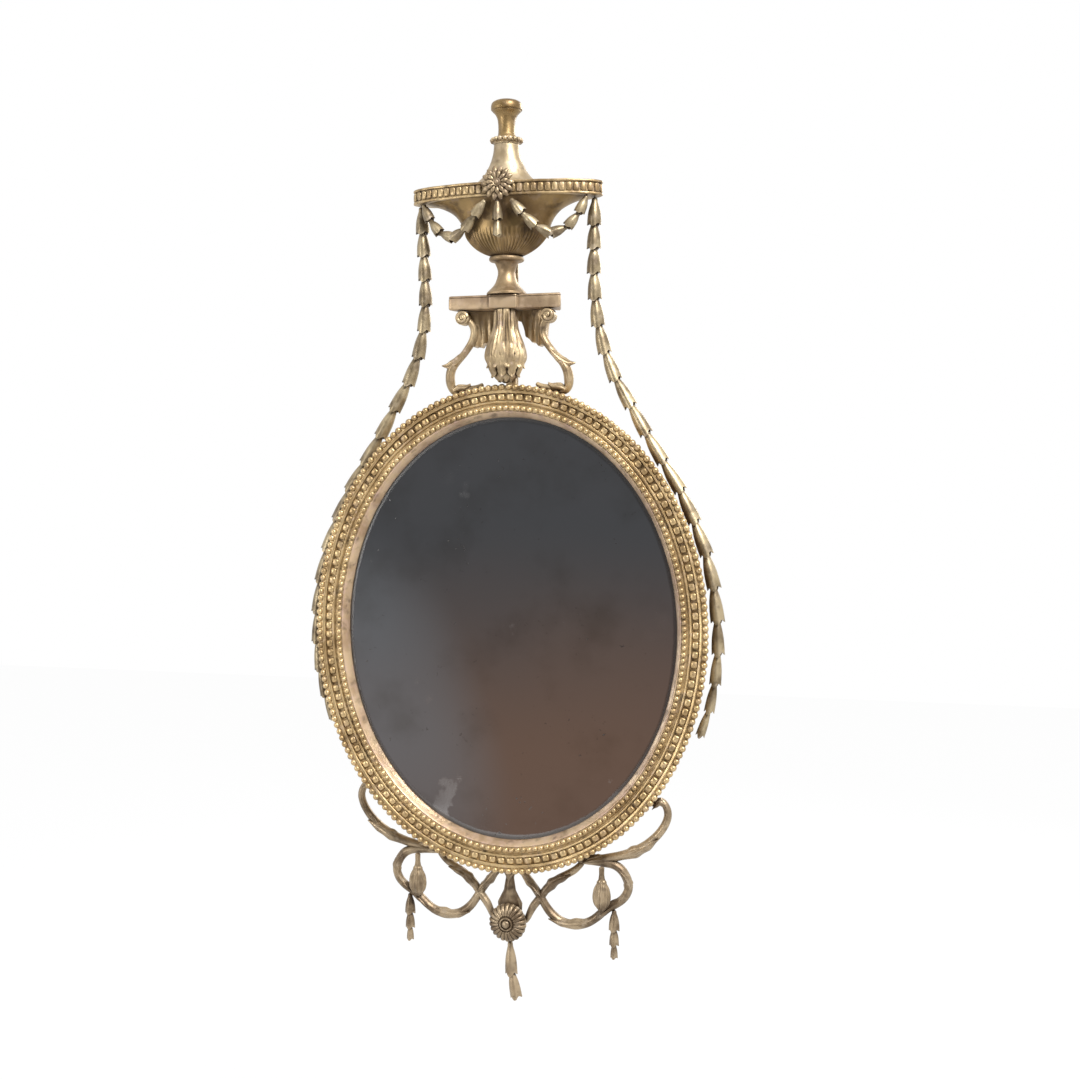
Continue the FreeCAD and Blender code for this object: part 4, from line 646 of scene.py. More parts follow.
def turned(corners, base, sides, axis_depth, back=None, flutes=0, flute_depth=0.0, twist=0.0, steps=6):
    """Turned piece: (radius, height, softness) corners above a base, spun about an upright axis, fluted
    where asked and planed flat at a depth behind. The flutes may wind round it by a twist in turns."""
    radius, height = softened(corners, steps, closed=False).T[:, :, None]
    turn = full_turn(sides)[None]
    share = np.linspace(0, 1, len(radius))[:, None]
    wave = 1 - flute_depth * np.abs(np.sin(flutes * turn / 2 + 2 * np.pi * twist * share))
    depth = axis_depth + radius * wave * np.sin(turn)
    if back is not None:
        depth = np.maximum(depth, back)
    return ring_solid(points_of(radius * wave * np.cos(turn), -depth, base + height))


def round_about(solid, turns):
    """Copies of a leaf made in the plane of X and Z, turned about the bud's axis, kept before its back."""
    axes = np.stack([points_of(np.cos(turns), np.sin(turns), 0), points_of(-np.sin(turns), np.cos(turns), 0),
                     points_of(0 * turns, 0, 1)], -1)
    points, quads, triangles = copies(solid, points_of(0 * turns, -BUD_AXIS_DEPTH, 0), axes)
    points[:, 1] = np.minimum(points[:, 1], -BUD_BACK)
    return points, quads, triangles


bud_core = [(10, bud_high[2] - 0.2), (13, bud_high[2] - 6), (13, 398), (14.5, 386), (19, 370), (22, 356),
            (20, 342), (14.5, 331), (7.5, 324), (2.5, bud_low[2] + 0.2)]
long_line = [(12.6, 0, 415), (12.8, 0, 402), (14.4, 0, 389), (19.6, 0, 375), (24, 0, 362), (24.6, 0, 351),
             (22.4, 0, 344.5), (24.6, 0, 340)]
long_leaf = leaf(long_line, (0, 1, 0), (4.4, 4.6, 5.6, 8.6, 12, 12.8, 10.4, 4), thickness=2.1, cup=-0.16,
                 ribs=4, rib_depth=1.0, lobes=4, count=40)
short_line = [(21, 0, 356), (21.6, 0, 345), (18.6, 0, 336), (17.4, 0, 331), (19, 0, 328)]
short_leaf = leaf(short_line, (0, 1, 0), (7, 9.4, 9, 7, 1.8), thickness=2.0, cup=-0.2, ribs=3, rib_depth=0.8,
                  lobes=3)
tip_leaf = leaf([(14, 0, 336), (12.6, 0, 329), (9, 0, 324.4), (8.8, 0, 322)], (0, 1, 0), (5.4, 6.4, 5, 1.2),
                thickness=1.7, cup=-0.15, ribs=3, rib_depth=0.5)
FRONT = -np.pi / 2
outer_turns = FRONT + np.radians([-110, -66, -22, 22, 66, 110])
inner_turns = FRONT + np.radians([-88, -44, 0, 44, 88])
# The bud's hollows take the most dirt and painted shade of any piece.
bud_gilding = gilding("bud_gilding", (0.60, 0.46, 0.27, 1), (0.34, 0.245, 0.14, 1),
                      (0.48, 0.36, 0.26, 1), wear=0.5, gloss=0.46, grime_and_shade_share=1.5)
bud_corners = [(*corner, 4) for corner in bud_core]
piece("leafy_bud", [
    turned(bud_corners, 0, 40, BUD_AXIS_DEPTH, BUD_BACK, flutes=20, flute_depth=0.05, steps=4),
    round_about(long_leaf, outer_turns),
    round_about(short_leaf, inner_turns),
    round_about(tip_leaf, outer_turns),
], bud_gilding, "acanthus_bud")

# Plinth
# The block that the urn stands on, its middle breaking forward, with rounded arrises.
# Softwood, gessoed and gilded, screwed to the strap behind.
plinth_top = box_of("plinth")[1][2]
PLINTH_BACK = 6.1
JOINT = 0.05
plan = softened([(-66, 6.2, 1), (-76.3, 46.8, 5), (-19, 46.8, 1), (-19, 51.8, 2), (19, 51.8, 2),
                 (19, 46.8, 1), (76.3, 46.8, 5), (66, 6.2, 1)], 7)
side = unit(np.roll(plan, -1, 0) - np.roll(plan, 1, 0))
inward = np.stack([-side[:, 1], side[:, 0]], -1)
inward = inward * np.sign(np.einsum("ij,ij->i", inward, plan.mean(0) - plan).sum())
inset = np.array([3.2, 1.4, 0.5, 0.1, 0.1, 0.9, 0.9, 0.1, 0.1, 0.5, 1.4, 3.2])[:, None]
rise = np.array([0.0, 0.35, 1.3, 2.6, 14.6, 14.9, 15.5, 15.8, 16.4, 17.4, 18.1, 18.4])[:, None]
plan_rings = plan[None] + inward[None] * inset[:, :, None]
plinth_rings = points_of(plan_rings[..., 0], np.minimum(-plan_rings[..., 1], -PLINTH_BACK),
                         plinth_base + JOINT + rise)
plinth_gilding = gilding("plinth_gilding", (0.54, 0.40, 0.25, 1), (0.37, 0.26, 0.16, 1),
                         (0.45, 0.33, 0.24, 1), wear=0.7, gloss=0.44, grime_and_shade_share=0.6)
piece("gilt_plinth", [ring_solid(hand_cut(plinth_rings, 0.2))], plinth_gilding, "plinth")

# Urn
# Turned foot, gadrooned body, wide coved bowl, blocked rim, bell lid, beaded ring and knob in one stack,
# with spigots under the foot and the knob. The oval pieces are carved, since the urn is wider than it is
# deep, and planed flat behind.
URN_AXIS_DEPTH = 33.0
URN_BACK = 6.1
RIM_HALF_WIDTH = 127.4
RIM_HALF_DEPTH = 36.9
RIM_HEIGHT = 19.0
RIM_SEAT = 2.5
BLOCK_PITCH = 9.0
BEADS_IN_RING = 18
BEAD_SEAT = 18.3
BEAD_RISE = 5.8
foot_base = plinth_top + JOINT
URN_HEIGHTS = (49.5, 34.0, 37.6, RIM_HEIGHT, 52.0, 9.0)
body_base, bowl_base, rim_base, lid_base, ring_base, knob_base = foot_base + np.cumsum(URN_HEIGHTS)


def level_rings(sections, base, sides=120, flutes=0, flute_depth=0.0):
    """Carved oval form: level ellipses (height, half width, half depth) about the urn's axis, planed flat
    behind, with furrows between gadroons round it where asked."""
    height, half_width, half_depth = np.array(sections, float).T[:, :, None]
    turn = full_turn(sides)[None]
    rise = np.linspace(0, 1, len(height))[:, None]
    swell = np.sqrt(np.clip(np.sin(np.pi * rise), 0, 1))
    furrow = flute_depth * swell * (1 - np.abs(np.sin(flutes * turn / 2)))
    across = (half_width - 2.4 * furrow) * np.cos(turn)
    depth = URN_AXIS_DEPTH - (half_depth - furrow) * np.sin(turn)
    return ring_solid(hand_cut(points_of(across, -np.maximum(depth, URN_BACK), base + height), 0.15))


def swept(stops, count, height, half_width, half_depth):
    """Sections whose half width and half depth ease through (rise, share) stops. Height, half width and
    half depth are each a start and a growth."""
    rise, share = smooth_line([(*stop, 0) for stop in stops], count)[0].T[:2]
    return points_of(height[0] + height[1] * rise, half_width[0] + half_width[1] * share,
                     half_depth[0] + half_depth[1] * share)


def on_rim(turns):
    """Points round the rim's blocked face, at the middle of its height."""
    return points_of((RIM_HALF_WIDTH - RIM_SEAT) * np.cos(turns),
                     (RIM_HALF_DEPTH - RIM_SEAT) * np.sin(turns) - URN_AXIS_DEPTH, rim_base + RIM_HEIGHT / 2)


def standing(outward):
    """Axes for ornaments that stand upright and face along level unit vectors."""
    up = np.broadcast_to([0.0, 0.0, 1.0], outward.shape)
    return np.stack([np.cross(outward, up), -outward, up], -1)


foot_corners = [
    (25.9, 0, 0.1), (25.9, 2.6, 1), (23.2, 5.2, 3), (15.2, 13.5, 9), (11.3, 25, 9), (11.2, 32, 6),
    (15.4, 42.0, 4), (18.6, 42.6, 0.8), (22.6, 43.6, 2), (22.9, 48.2, 2.5), (19.5, 49.2, 1), (6, 49.4, 0.1)]
foot_gilding = gilding("foot_gilding", (0.40, 0.29, 0.165, 1), (0.25, 0.17, 0.09, 1),
                       (0.42, 0.30, 0.20, 1), wear=0.6, gloss=0.46, grime_and_shade_share=0.9)
piece("urn_foot_turning", [turned(foot_corners, foot_base, 64, URN_AXIS_DEPTH)], foot_gilding, "urn_foot")

bowl_gilding = gilding("bowl_gilding", (0.31, 0.205, 0.085, 1), (0.17, 0.105, 0.042, 1),
                       (0.27, 0.185, 0.11, 1), wear=0.4, gloss=0.38, grime_and_shade_share=0.85)
body_sections = swept(((0, 0), (0.2, 0.42), (0.5, 0.76), (0.8, 0.95), (1.0, 1.0)), 22,
                      height=(0, 34), half_width=(19, 38), half_depth=(19, 11))
bowl_sections = swept(((0, 0), (0.3, 0.1), (0.6, 0.29), (0.85, 0.64), (1.0, 1.0)), 22,
                      height=(0, 37.5), half_width=(57, 50), half_depth=(30, 5))
piece("gadrooned_body", [level_rings(body_sections, body_base, 360, flutes=60, flute_depth=1.1)],
      bowl_gilding, "urn_body")
piece("coved_bowl", [level_rings(bowl_sections, bowl_base)], bowl_gilding, "urn_bowl")

rim_gilding = gilding("rim_gilding", (0.54, 0.395, 0.205, 1), (0.30, 0.20, 0.095, 1),
                      (0.46, 0.34, 0.23, 1), wear=0.5, gloss=0.38, grime_and_shade_share=0.6)
rim_lower = np.array([(0.1, 1.6), (0.4, 0.5), (1.0, 0.1), (2.6, 0.1), (3.2, 0.6), (3.5, 1.4), (3.8, 2.6)])
rim_rise, rim_inset = np.concatenate([rim_lower, rim_lower[::-1] * [-1, 1] + [RIM_HEIGHT, 0]]).T
rim_sections = points_of(rim_rise, RIM_HALF_WIDTH - rim_inset, RIM_HALF_DEPTH - rim_inset)
piece("urn_rim_band", [level_rings(rim_sections, rim_base, 200)], rim_gilding, "urn_rim")
rim_turns = np.linspace(np.pi, 2 * np.pi, 2001)
rim_way = way_along(on_rim(rim_turns))
block_marks = np.linspace(0, rim_way[-1], round(rim_way[-1] / BLOCK_PITCH) + 1)
block_turns = np.interp(block_marks, rim_way, rim_turns)
block_outward = unit(points_of(np.cos(block_turns) / RIM_HALF_WIDTH,
                               np.sin(block_turns) / RIM_HALF_DEPTH, 0))
rim_block = dome(half_along=5.7, half_across=3.6, height=2.2, squareness=4.5, sides=16, flatness=0.8)
piece("urn_rim_blocks", [copies(rim_block, on_rim(block_turns), standing(block_outward))],
      rim_gilding, "rim_blocks")

lid_gilding = gilding("lid_gilding", (0.58, 0.465, 0.30, 1), (0.37, 0.28, 0.165, 1),
                      (0.50, 0.40, 0.29, 1), wear=0.6, gloss=0.42, grime_and_shade_share=0.5)
lid_sections = swept(((0, 1.0), (0.06, 0.78), (0.21, 0.46), (0.48, 0.2), (0.8, 0.03), (1.0, 0)), 26,
                     height=(0.1, 51.8), half_width=(16.5, 33.5), half_depth=(16.2, 16.5))
piece("bell_lid", [level_rings(lid_sections, lid_base)], lid_gilding, "urn_lid")
ring_corners = [(8, 0.1, 0.1), (16.2, 0.1, 0.8), (16.8, 2.6, 1), (18.4, 2.9, 0.8), (18.9, 8.4, 2),
                (14.5, 8.9, 1), (8, 8.9, 0.1)]
bead_turns = full_turn(BEADS_IN_RING)
bead_outward = points_of(np.cos(bead_turns), np.sin(bead_turns), 0)
bead_places = bead_outward * BEAD_SEAT + [0, -URN_AXIS_DEPTH, ring_base + BEAD_RISE]
ring_bead = dome(half_along=3.0, half_across=3.0, height=3.4, squareness=2.2)
piece("beaded_ring", [turned(ring_corners, ring_base, 48, URN_AXIS_DEPTH, steps=5),
                      copies(ring_bead, bead_places, standing(bead_outward))], crest_gilding, "bead_ring")
knob_corners = [
    (8, 0.1, 0.1), (12.8, 0.1, 0.2), (12.6, 1.4, 0.6), (11, 4.5, 2), (10.7, 11, 3), (11, 19, 3),
    (12, 25.5, 2.5), (14.6, 30.5, 2), (18.2, 34, 0.6), (18, 35, 0.4), (20.2, 35.8, 0.8), (20.5, 40, 2),
    (19.4, 44.6, 2), (15, 47.4, 2), (8, 49, 2), (1, 49.4, 0.1)]
piece("finial_turning", [turned(knob_corners, knob_base, 56, URN_AXIS_DEPTH)], bowl_gilding, "finial_knob")

# Crest rosette
# Two rings of spoon petals round a ringed eye, carved apart and planted on the rim's middle.
# Its gold is rubbed nearly grey.
ROSETTE_DEPTH = 70.35
ROSETTE_HEIGHT = rim_base + 15.5
rosette_gilding = gilding("rosette_gilding", (0.42, 0.315, 0.19, 1), (0.22, 0.155, 0.09, 1),
                          (0.38, 0.28, 0.2, 1), wear=0.5, gloss=0.42, grime_and_shade_share=0.9)


def flower(petal, count, start=0.0):
    """Petals made along X and facing forward, set round the rosette's axis."""
    turns = start + full_turn(count)
    axes = np.stack([points_of(np.cos(turns), 0, np.sin(turns)), points_of(0 * turns, 1, 0),
                     points_of(-np.sin(turns), 0, np.cos(turns))], -1)
    return copies(petal, points_of(0 * turns, -ROSETTE_DEPTH, ROSETTE_HEIGHT), axes)


def facing(profile, sides, depth, height, petals=0, scallop=0.0, furrow=0.0):
    """Turned disc that faces forward: rings of (radius, rise) about a level axis, its edge scalloped and
    its face furrowed between petals where asked."""
    radius, rise = np.array(profile, float).T[:, :, None]
    turn = full_turn(sides)[None]
    wave = np.abs(np.sin(petals * turn / 2)) ** 0.6 - 1
    envelope = np.clip(radius / radius.max() - 0.34, 0, 1) ** 0.5
    reach = radius * (1 + scallop * wave * (radius > 0.8 * radius.max()))
    lift = np.maximum(rise + furrow * wave * envelope * (rise > 0.1), 0.02)
    return ring_solid(points_of(reach * np.cos(turn), -depth - lift, height + reach * np.sin(turn)))


outer_petal = leaf([(7, -1.0, 0), (12, -3.6, 0), (17.5, -4.0, 0), (21.4, -2.0, 0)], (0, 0, 1),
                   (1.6, 2.6, 3.8, 1.6), thickness=1.5, cup=-0.22, count=12)
inner_petal = leaf([(3.5, -3.5, 0), (8, -6.4, 0), (12, -6.4, 0), (14.6, -4.6, 0)], (0, 0, 1),
                   (1.2, 2.0, 2.9, 1.2), thickness=1.3, cup=-0.22, count=12)
disc = [(13, 0.05), (15, 0.6), (15, 1.8), (13, 2.6), (6, 3.4), (1, 3.5)]
eye = [(5.4, 1.0), (5.6, 6.6), (4.9, 7.6), (3.9, 7.0), (3.2, 6.8), (2.7, 7.8), (1.4, 8.7), (0.4, 8.8)]
piece("spoon_rosette", [
    facing(disc, 36, ROSETTE_DEPTH, ROSETTE_HEIGHT),
    flower(outer_petal, 14),
    flower(inner_petal, 11, start=0.2),
    facing(eye, 24, ROSETTE_DEPTH, ROSETTE_HEIGHT),
], rosette_gilding, "crest_rosette")

# Husk chains, festoons and rosette drop
# Bellflowers carved or cast one by one and threaded on wire, each neck in the mouth of the one above.
# The long chains are graded: short at the rim, long at the frame's shoulder, dwindling to the ends.
husk_gilding = gilding("husk_gilding", (0.45, 0.36, 0.22, 1), (0.20, 0.15, 0.088, 1),
                       (0.37, 0.30, 0.22, 1), wear=0.6, gloss=0.40, grime_and_shade_share=0.95)


def husk(length, radius):
    """Bellflower hanging along +Z from its neck: a bell of four ridged petals whose tips reach lowest,
    those in front and behind lowest of all, with the hollow of its mouth turned back inside."""
    turn = full_turn(32)[None]
    petal = 0.5 + 0.5 * np.cos(4 * turn)
    down = np.array([0, 0.03, 0.08, 0.14, 0.22, 0.32, 0.44, 0.56, 0.68, 0.8, 0.9, 0.97, 1.0])[:, None]
    bell = np.interp(down, [0, 0.03, 0.08, 0.14, 0.3, 0.5, 0.75, 0.92, 1.0],
                     [0.2, 0.36, 0.42, 0.42, 0.64, 0.85, 0.94, 0.95, 0.97])
    outer = radius * bell * (1 + 0.03 * petal ** 6 - 0.08 * (1 - petal) ** 2 * down)
    rise = 0.09 * (1 - petal) ** 1.5 + 0.05 * np.cos(turn) ** 2
    outer_drop = length * down * (1 - rise * down ** 3)
    back_up = np.array([0.985, 0.9, 0.74])[:, None]
    inner = radius * np.array([0.86, 0.72, 0.25])[:, None] * (1 - 0.1 * (1 - petal))
    inner_drop = length * back_up * (1 - rise * back_up ** 3)
    reach = np.concatenate([outer, inner])
    drop = np.concatenate([outer_drop, inner_drop])
    return ring_solid(points_of(reach * np.cos(turn), reach * np.sin(turn), drop))


def husk_string(stops, widths, lap):
    """Husks whose necks are the stops in turn, each as long as its gap and lap."""
    solids = []
    for here, after, width in zip(stops, stops[1:], widths):
        gap = np.linalg.norm(after - here)
        down = (after - here) / gap
        across = unit(np.cross(down, [0, 1, 0]))
        axes = np.stack([across, np.cross(down, across), down], -1)
        solids.append(copies(husk(gap / (1 - lap), width / 2), here[None], axes[None]))
    return solids


def stops_along(points, gaps):
    """Points along a smooth line, their gaps in proportion to the given ones."""
    line = smooth_line(points, 1200)[0]
    way = way_along(line)
    marks = np.concatenate([[0], np.cumsum(gaps)])
    marks = marks / marks[-1] * way[-1]
    return np.stack([np.interp(marks, way, line[:, axis]) for axis in range(3)], -1)


HUSK_WIDTH = 18.9
HUSK_LAP = 0.22
HUSKS_IN_CHAIN = 19
CHAIN_CLEAR = 46.25
CHAIN_DEPTH = 18.0
chain_points = [(117, -33, rim_base - 2), (115, -29, (rim_base + plinth_base) / 2),
                (118, -21, plinth_base - 15)]
for angle, extra in ((62.0, 38), (55.5, 21.5), (48.2, 8.5), (40.9, 3.5), (32.9, 2), (24.5, 1.5), (17.3, 3),
                     (9.3, 3.4), (0.7, 4.6), (-7.4, 5.6), (-13.2, 6), (-18, 5.6), (-22, 4.5)):
    point = oval(np.radians([angle]), CHAIN_CLEAR + extra)[0][0]
    chain_points.append((point[0], -CHAIN_DEPTH, point[2]))
order = np.arange(HUSKS_IN_CHAIN)
chain_gaps = 0.72 + 0.42 * np.sin(np.pi * (0.06 + 0.86 * order / (HUSKS_IN_CHAIN - 1)) ** 1.5)
chain_widths = HUSK_WIDTH * np.minimum(1.0, 0.55 + 0.45 * (HUSKS_IN_CHAIN - order) / 5)
chain = husk_string(stops_along(chain_points, chain_gaps), chain_widths, HUSK_LAP)
both_sides("husks", chain, husk_gilding, "husk_chain")

festoon_points = [(17, -72.2, 550), (42.2, -66.2, 521), (65.5, -55, 507.5), (88, -49, 518),
                  (109.6, -46, 554)]
festoon_stops = stops_along(festoon_points, np.ones(6))
festoon_widths = np.full(3, 15)
festoon = husk_string(festoon_stops[:4], festoon_widths, lap=0.06)
festoon += husk_string(festoon_stops[:2:-1], festoon_widths, lap=0.06)
both_sides("festoon_husks", festoon, husk_gilding, "festoon")
drop_line = np.array([[0, -73.25, ROSETTE_HEIGHT - 23 - 20 * step] for step in range(3)])
piece("rosette_husks", husk_string(drop_line, [14.4, 12.4], lap=0.2), husk_gilding, "rosette_drop")

# Base scrolls
# Thin carved branches under the frame, with leaf sheaths where they part, a bud in each loop and husks
# below. Their gilding is dark, nearly bronze, from dirt and old toning.
apron_gilding = gilding("apron_gilding", (0.45, 0.345, 0.22, 1), (0.17, 0.118, 0.07, 1),
                        (0.36, 0.28, 0.19, 1), wear=0.5, gloss=0.4, grime_and_shade_share=1.0)
SCROLL_DEPTH = 16.0
SCROLL_RADIUS = 5.2
SCROLL_CLEAR = 41.45
stem_top = box_of("patera_stem")[1][2]


def beside(*spots):
    """Points of the base plane at angles in degrees and offsets from where a scroll touches the frame."""
    angles, offsets = np.array(spots, float).T
    return oval(np.radians(angles), SCROLL_CLEAR + offsets)[0] - [0, SCROLL_DEPTH, 0]


def sheath(points, width):
    """Ribbed leaf that wraps the front of a branch along three points and ends in a lifted tip."""
    onward = unit(points[-1] - points[0])
    side = unit(np.cross([0.0, 1.0, 0.0], onward))
    raised = points - [0, 1, 0] * np.array([[2.0], [3.8], [6.2]])
    return leaf(raised, -side, width * np.array([0.45, 1, 0.8, 0.1]), thickness=2.8, cup=-0.42,
                ribs=3, rib_depth=0.8, lobes=2, count=20)


branch_points = beside((-44.2, 0.4), (-41.8, 5.5), (-42.2, 18.5), (-44.2, 27.5), (-47.2, 31.0),
                       (-52.3, 30.0), (-56.3, 26.0), (-60.0, 19.0), (-63.8, 11.5), (-68.0, 0.3))
loop_points = beside((-70.0, 0.3), (-66.4, 9.1), (-63.2, 19.0), (-60.8, 30.0), (-60.0, 48.5),
                     (-60.8, 62.8), (-63.4, 71.6), (-66.8, 73.0), (-70.3, 79.8), (-74.5, 81.5),
                     (-78.0, 73.0), (-80.5, 56.0), (-82.0, 37.8), (-83.9, 20.0), (-86.8, 0.3))
tendril_tip = np.array([(20, -SCROLL_DEPTH, stem_top - 76), (24.5, -SCROLL_DEPTH, stem_top - 68)])
tendril_run = beside((-84.3, 50.5), (-82.0, 37.8), (-79.7, 26.1), (-75.6, 16.6), (-71.5, 12.1), (-68.5, 6.0))
tendril_points = np.concatenate([tendril_tip, tendril_run])
BRANCH_SHARES = np.array([1.0, 0.85, 0.95, 1.0, 1.05, 1.1, 1.2, 1.15, 1.0, 1.0])
LOOP_SHARES = np.array([1.0, 1.0, 1.1, 1.15, 1.15, 1.1, 1.1, 1.1, 1.1, 1.2, 1.15, 1.1, 1.05, 1.0, 1.0])
TENDRIL_SHARES = np.array([0.62, 0.8, 1.0, 1.05, 1.05, 1.0, 0.9, 0.75])
SHEATHS = (
    (9.0, (-58.6, 24), (-53.6, 30), (-48.4, 36)),
    (6.6, (-62, 16), (-65, 9), (-68.4, 6)),
    (7.8, (-72, 81.2), (-76.2, 78), (-80.6, 66)),
    (8.0, (-80.8, 33), (-78.4, 22), (-72.6, 17)),
    (7.2, (-61.5, 66), (-60, 54), (-60.4, 36)),
    (6.8, (-42, 17), (-41.8, 7), (-44.6, 4)),
    (6.8, (-86, 8), (-83.8, 21), (-81.6, 36)),
    (6.6, (-62.6, 70), (-66.8, 74), (-70.6, 81)),
)
scroll = [
    member(branch_points, SCROLL_RADIUS * BRANCH_SHARES, 110, ridge=0.2),
    member(loop_points, SCROLL_RADIUS * LOOP_SHARES, 170, ridge=0.2),
    member(tendril_points, SCROLL_RADIUS * TENDRIL_SHARES, 90, ridge=0.2),
]
scroll += [sheath(beside(*spots), width) for width, *spots in SHEATHS]
both_sides("leafy_scroll", scroll, apron_gilding, "base_scroll")

# Base buds
# Ovoid buds wound with ribs, carved apart from the scrolls and glued on.
# Each hangs by a short stalk before its branch and rests on the front of its loop.
base_bud_corners = [
    (1.2, 0.2, 0.1), (4.0, 0.8, 1), (10.5, 8, 4), (12.8, 19.5, 8), (10.2, 30, 6), (6.4, 36.5, 2.5),
    (6.6, 38.5, 1), (4.4, 41, 1.5), (3.4, 48, 2), (3.6, 57, 1), (0.6, 58.4, 0.1)]
for side_name in ("right", "left"):
    low, high = box_of(f"base_bud_{side_name}")
    middle = (low + high) / 2
    points, quads, triangles = turned(base_bud_corners, low[2], 112, -middle[1], flutes=8, flute_depth=0.24,
                                      twist=0.26)
    bud_solid = (points + [middle[0], 0, 0], quads, triangles)
    piece(f"ribbed_bud_{side_name}", [bud_solid], apron_gilding, f"base_bud_{side_name}")

# Base drops, patera and its stem
# Husks hang under the loops and under the daisy patera, which a leafy tongue carries below the frame.
# The patera is turned and then cut into petals. All of it has the dark gilding of the scrolls.
PATERA_RADIUS = 26.0
PATERA_DEPTH = 20.35
DROP_WIDTH = 15.5
drop_top = beside((-65.3, 72.6)) - [0, 0, SCROLL_RADIUS + 2]
drop_stops = drop_top - np.array([0, 22.0, 42.0, 59.0])[:, None] * [0, 0, 1]
both_sides("drop_husks", husk_string(drop_stops, DROP_WIDTH * np.array([0.95, 0.85, 0.65]), HUSK_LAP),
           apron_gilding, "base_drop")

patera_height = stem_top - 74.0
tongue_line = [(0, -15, stem_top - 0.2), (0, -17, stem_top - 16), (0, -18, stem_top - 36),
               (0, -17.5, stem_top - 58), (0, -16, patera_height - PATERA_RADIUS + 0.5)]
collar_line = [(0, -17, stem_top - 1), (0, -21.5, stem_top - 8), (0, -21, stem_top - 20)]
piece("leafy_tongue", [
    leaf(tongue_line, (1, 0, 0), (8.5, 5.6, 8.4, 17, 16, 9, 4), thickness=3.4, cup=-0.1, ribs=8,
         rib_depth=1.1, count=60),
    leaf(collar_line, (1, 0, 0), (5, 7, 1.2), thickness=2, cup=-0.2, ribs=3, rib_depth=0.6),
], apron_gilding, "patera_stem")
patera_profile = softened([
    (20, 0.05, 0.2), (24.5, 2, 1), (25.8, 7, 2), (24, 11.5, 3), (18, 15.6, 4), (11.4, 16.6, 1),
    (9.6, 14.6, 0.6), (8.6, 17.6, 1), (7.2, 17.8, 0.8), (6, 15.4, 0.6), (4.4, 18.6, 1.5), (0.4, 20.2, 0.1)],
    steps=5, closed=False)
daisy = facing(patera_profile, 264, PATERA_DEPTH, patera_height, petals=22, scallop=0.07, furrow=2.6)
piece("daisy_patera", [daisy], apron_gilding, "patera")
centre_top = np.array([0, -SCROLL_DEPTH, patera_height - PATERA_RADIUS - 2.0])
centre_stops = centre_top + np.cumsum([(0, 0, 0), (1.5, 0, -36.0), (6.0, 0, -31.8)], axis=0)
piece("centre_husks", husk_string(centre_stops, [17.0, 16.3], HUSK_LAP), apron_gilding, "centre_drop")

# Stage
# A white ground, a soft lamp high before the mirror on its right, weaker ones low on its left and behind,
# and a dim card in front that only reflections see, so that the glass and the leaf have something to mirror.
FLOOR_HEIGHT = -0.95
FLOOR_REACH = 6.0
FLOOR_GLOW = 1.07
FLOOR_GLOW_SHARE = 0.9
ROOM_LIGHT = 0.12
CARD_PLACE = -2.5
CARD_BROWN = (0.24, 0.15, 0.11, 1)
CARD_GREY = (0.105, 0.105, 0.11, 1)
CARD_PALE = (0.24, 0.26, 0.28, 1)
LAMP_AIM = Vector((0, 0, 0.1))


def stage_plane(name, corners, material):
    """Flat stage piece through four corners in metres."""
    mesh = bpy.data.meshes.new(name)
    mesh.from_pydata(corners, [], [(0, 1, 2, 3)])
    mesh.materials.append(material)
    made = new_object(name, mesh)
    return made


def seen(tree):
    """1 where the camera looks, straight, in a reflection or through glass, and 0 for other light."""
    path = tree.nodes.new("ShaderNodeLightPath").outputs
    straight, mirrored, through = (Shade(tree, path[f"Is {ray} Ray"]) for ray in
                                   ("Camera", "Glossy", "Transmission"))
    return straight + mirrored + through


floor_paint = bpy.data.materials.new("floor_paint")
floor_paint.use_nodes = True
tree = floor_paint.node_tree
paint = tree.nodes["Principled BSDF"]
paint.inputs["Base Color"].default_value = (0.9, 0.9, 0.9, 1)
paint.inputs["Roughness"].default_value = 0.9
glow = Shade(tree).node("ShaderNodeEmission", {}, {"Strength": FLOOR_GLOW})
blend = glow.node("ShaderNodeMixShader", {},
                  {0: FLOOR_GLOW_SHARE * seen(tree), 1: Shade(tree, paint.outputs[0]), 2: glow})
tree.links.new(blend.socket, tree.nodes["Material Output"].inputs["Surface"])
floor_sides = ((-1, -1), (1, -1), (1, 1), (-1, 1))
stage_plane("floor", [(x * FLOOR_REACH, y * FLOOR_REACH, FLOOR_HEIGHT) for x, y in floor_sides], floor_paint)

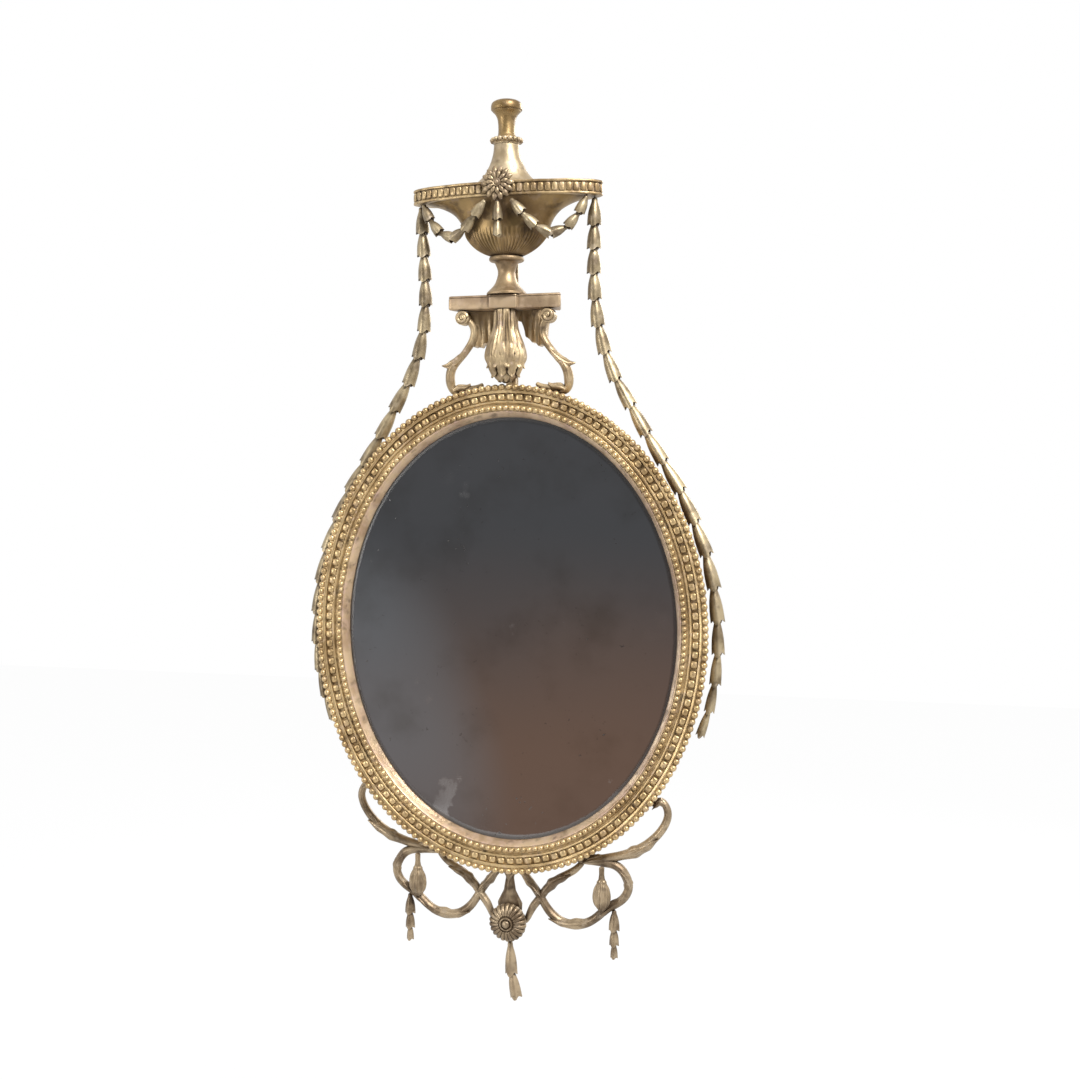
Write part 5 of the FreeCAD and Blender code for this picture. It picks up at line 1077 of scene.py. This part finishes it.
card_paint, paint, place = new_finish("card_paint")
tree = card_paint.node_tree
tree.nodes.remove(paint)
sway = 0.25 * place.noise(1.1, 2)
dusk = (place.along("Z") + sway).between(-0.55, 0.2).mix(CARD_BROWN, CARD_GREY)
lit = place.noise(0.9, 1).between(0.52, 0.75)
card_glow = lit.node("ShaderNodeEmission", {}, {"Color": (0.7 * lit).mix(dusk, CARD_PALE)})
tree.links.new(card_glow.socket, tree.nodes["Material Output"].inputs["Surface"])
card_sides = ((-3.4, -0.94), (1.6, -0.94), (1.6, 2.2), (-3.4, 2.2))
card = stage_plane("dim_card", [(x, CARD_PLACE, z) for x, z in card_sides], card_paint)
for ray in ("camera", "diffuse", "shadow", "transmission"):
    setattr(card, f"visible_{ray}", False)


def looking(place, ahead):
    """Matrix of a lamp or camera that stands at a place and looks along a direction."""
    return Matrix.Translation(place) @ ahead.to_track_quat("-Z", "Y").to_matrix().to_4x4()


def soft_lamp(name, place, size, power):
    """Square soft lamp at a place, turned to the middle of the mirror, with its power in watts."""
    data = bpy.data.lights.new(name, "AREA")
    data.size = size
    data.energy = power
    new_object(name, data).matrix_world = looking(place, LAMP_AIM - Vector(place))


soft_lamp("key_lamp", (1.5, -1.5, 2.1), size=0.9, power=115)
soft_lamp("fill_lamp", (-1.9, -2.0, 0.35), size=1.2, power=26)
soft_lamp("back_lamp", (1.0, 2.2, 1.3), size=1.2, power=35)
world = bpy.data.worlds.new("white_room")
world.use_nodes = True
bpy.context.scene.world = world
tree = world.node_tree
room = tree.nodes["Background"]
room.inputs["Color"].default_value = (1, 1, 1, 1)
strength = ROOM_LIGHT + (1 - ROOM_LIGHT) * seen(tree)
tree.links.new(strength.socket, room.inputs["Strength"])

# Camera
# It stands to the mirror's right at the height of the frame's upper half, as the photograph's did.
# Its place, turn and lens were fitted to the photograph together.
CAMERA_PLACE = (0.5408, -1.7935, 0.1835)
CAMERA_YAW = np.radians(15.72)
CAMERA_PITCH = np.radians(-2.05)
CAMERA_ROLL = np.radians(0.07)
LENS_OVER_WIDTH = 1414 / 1080
camera_data = bpy.data.cameras.new("camera")
camera_data.sensor_width = 36.0
camera_data.lens = camera_data.sensor_width * LENS_OVER_WIDTH
camera = new_object("camera", camera_data)
ahead = Vector((-np.sin(CAMERA_YAW) * np.cos(CAMERA_PITCH), np.cos(CAMERA_YAW) * np.cos(CAMERA_PITCH),
                np.sin(CAMERA_PITCH)))
camera.matrix_world = looking(CAMERA_PLACE, ahead) @ Matrix.Rotation(CAMERA_ROLL, 4, "Z")
bpy.context.scene.camera = camera
bpy.context.scene.view_settings.view_transform = "Standard"
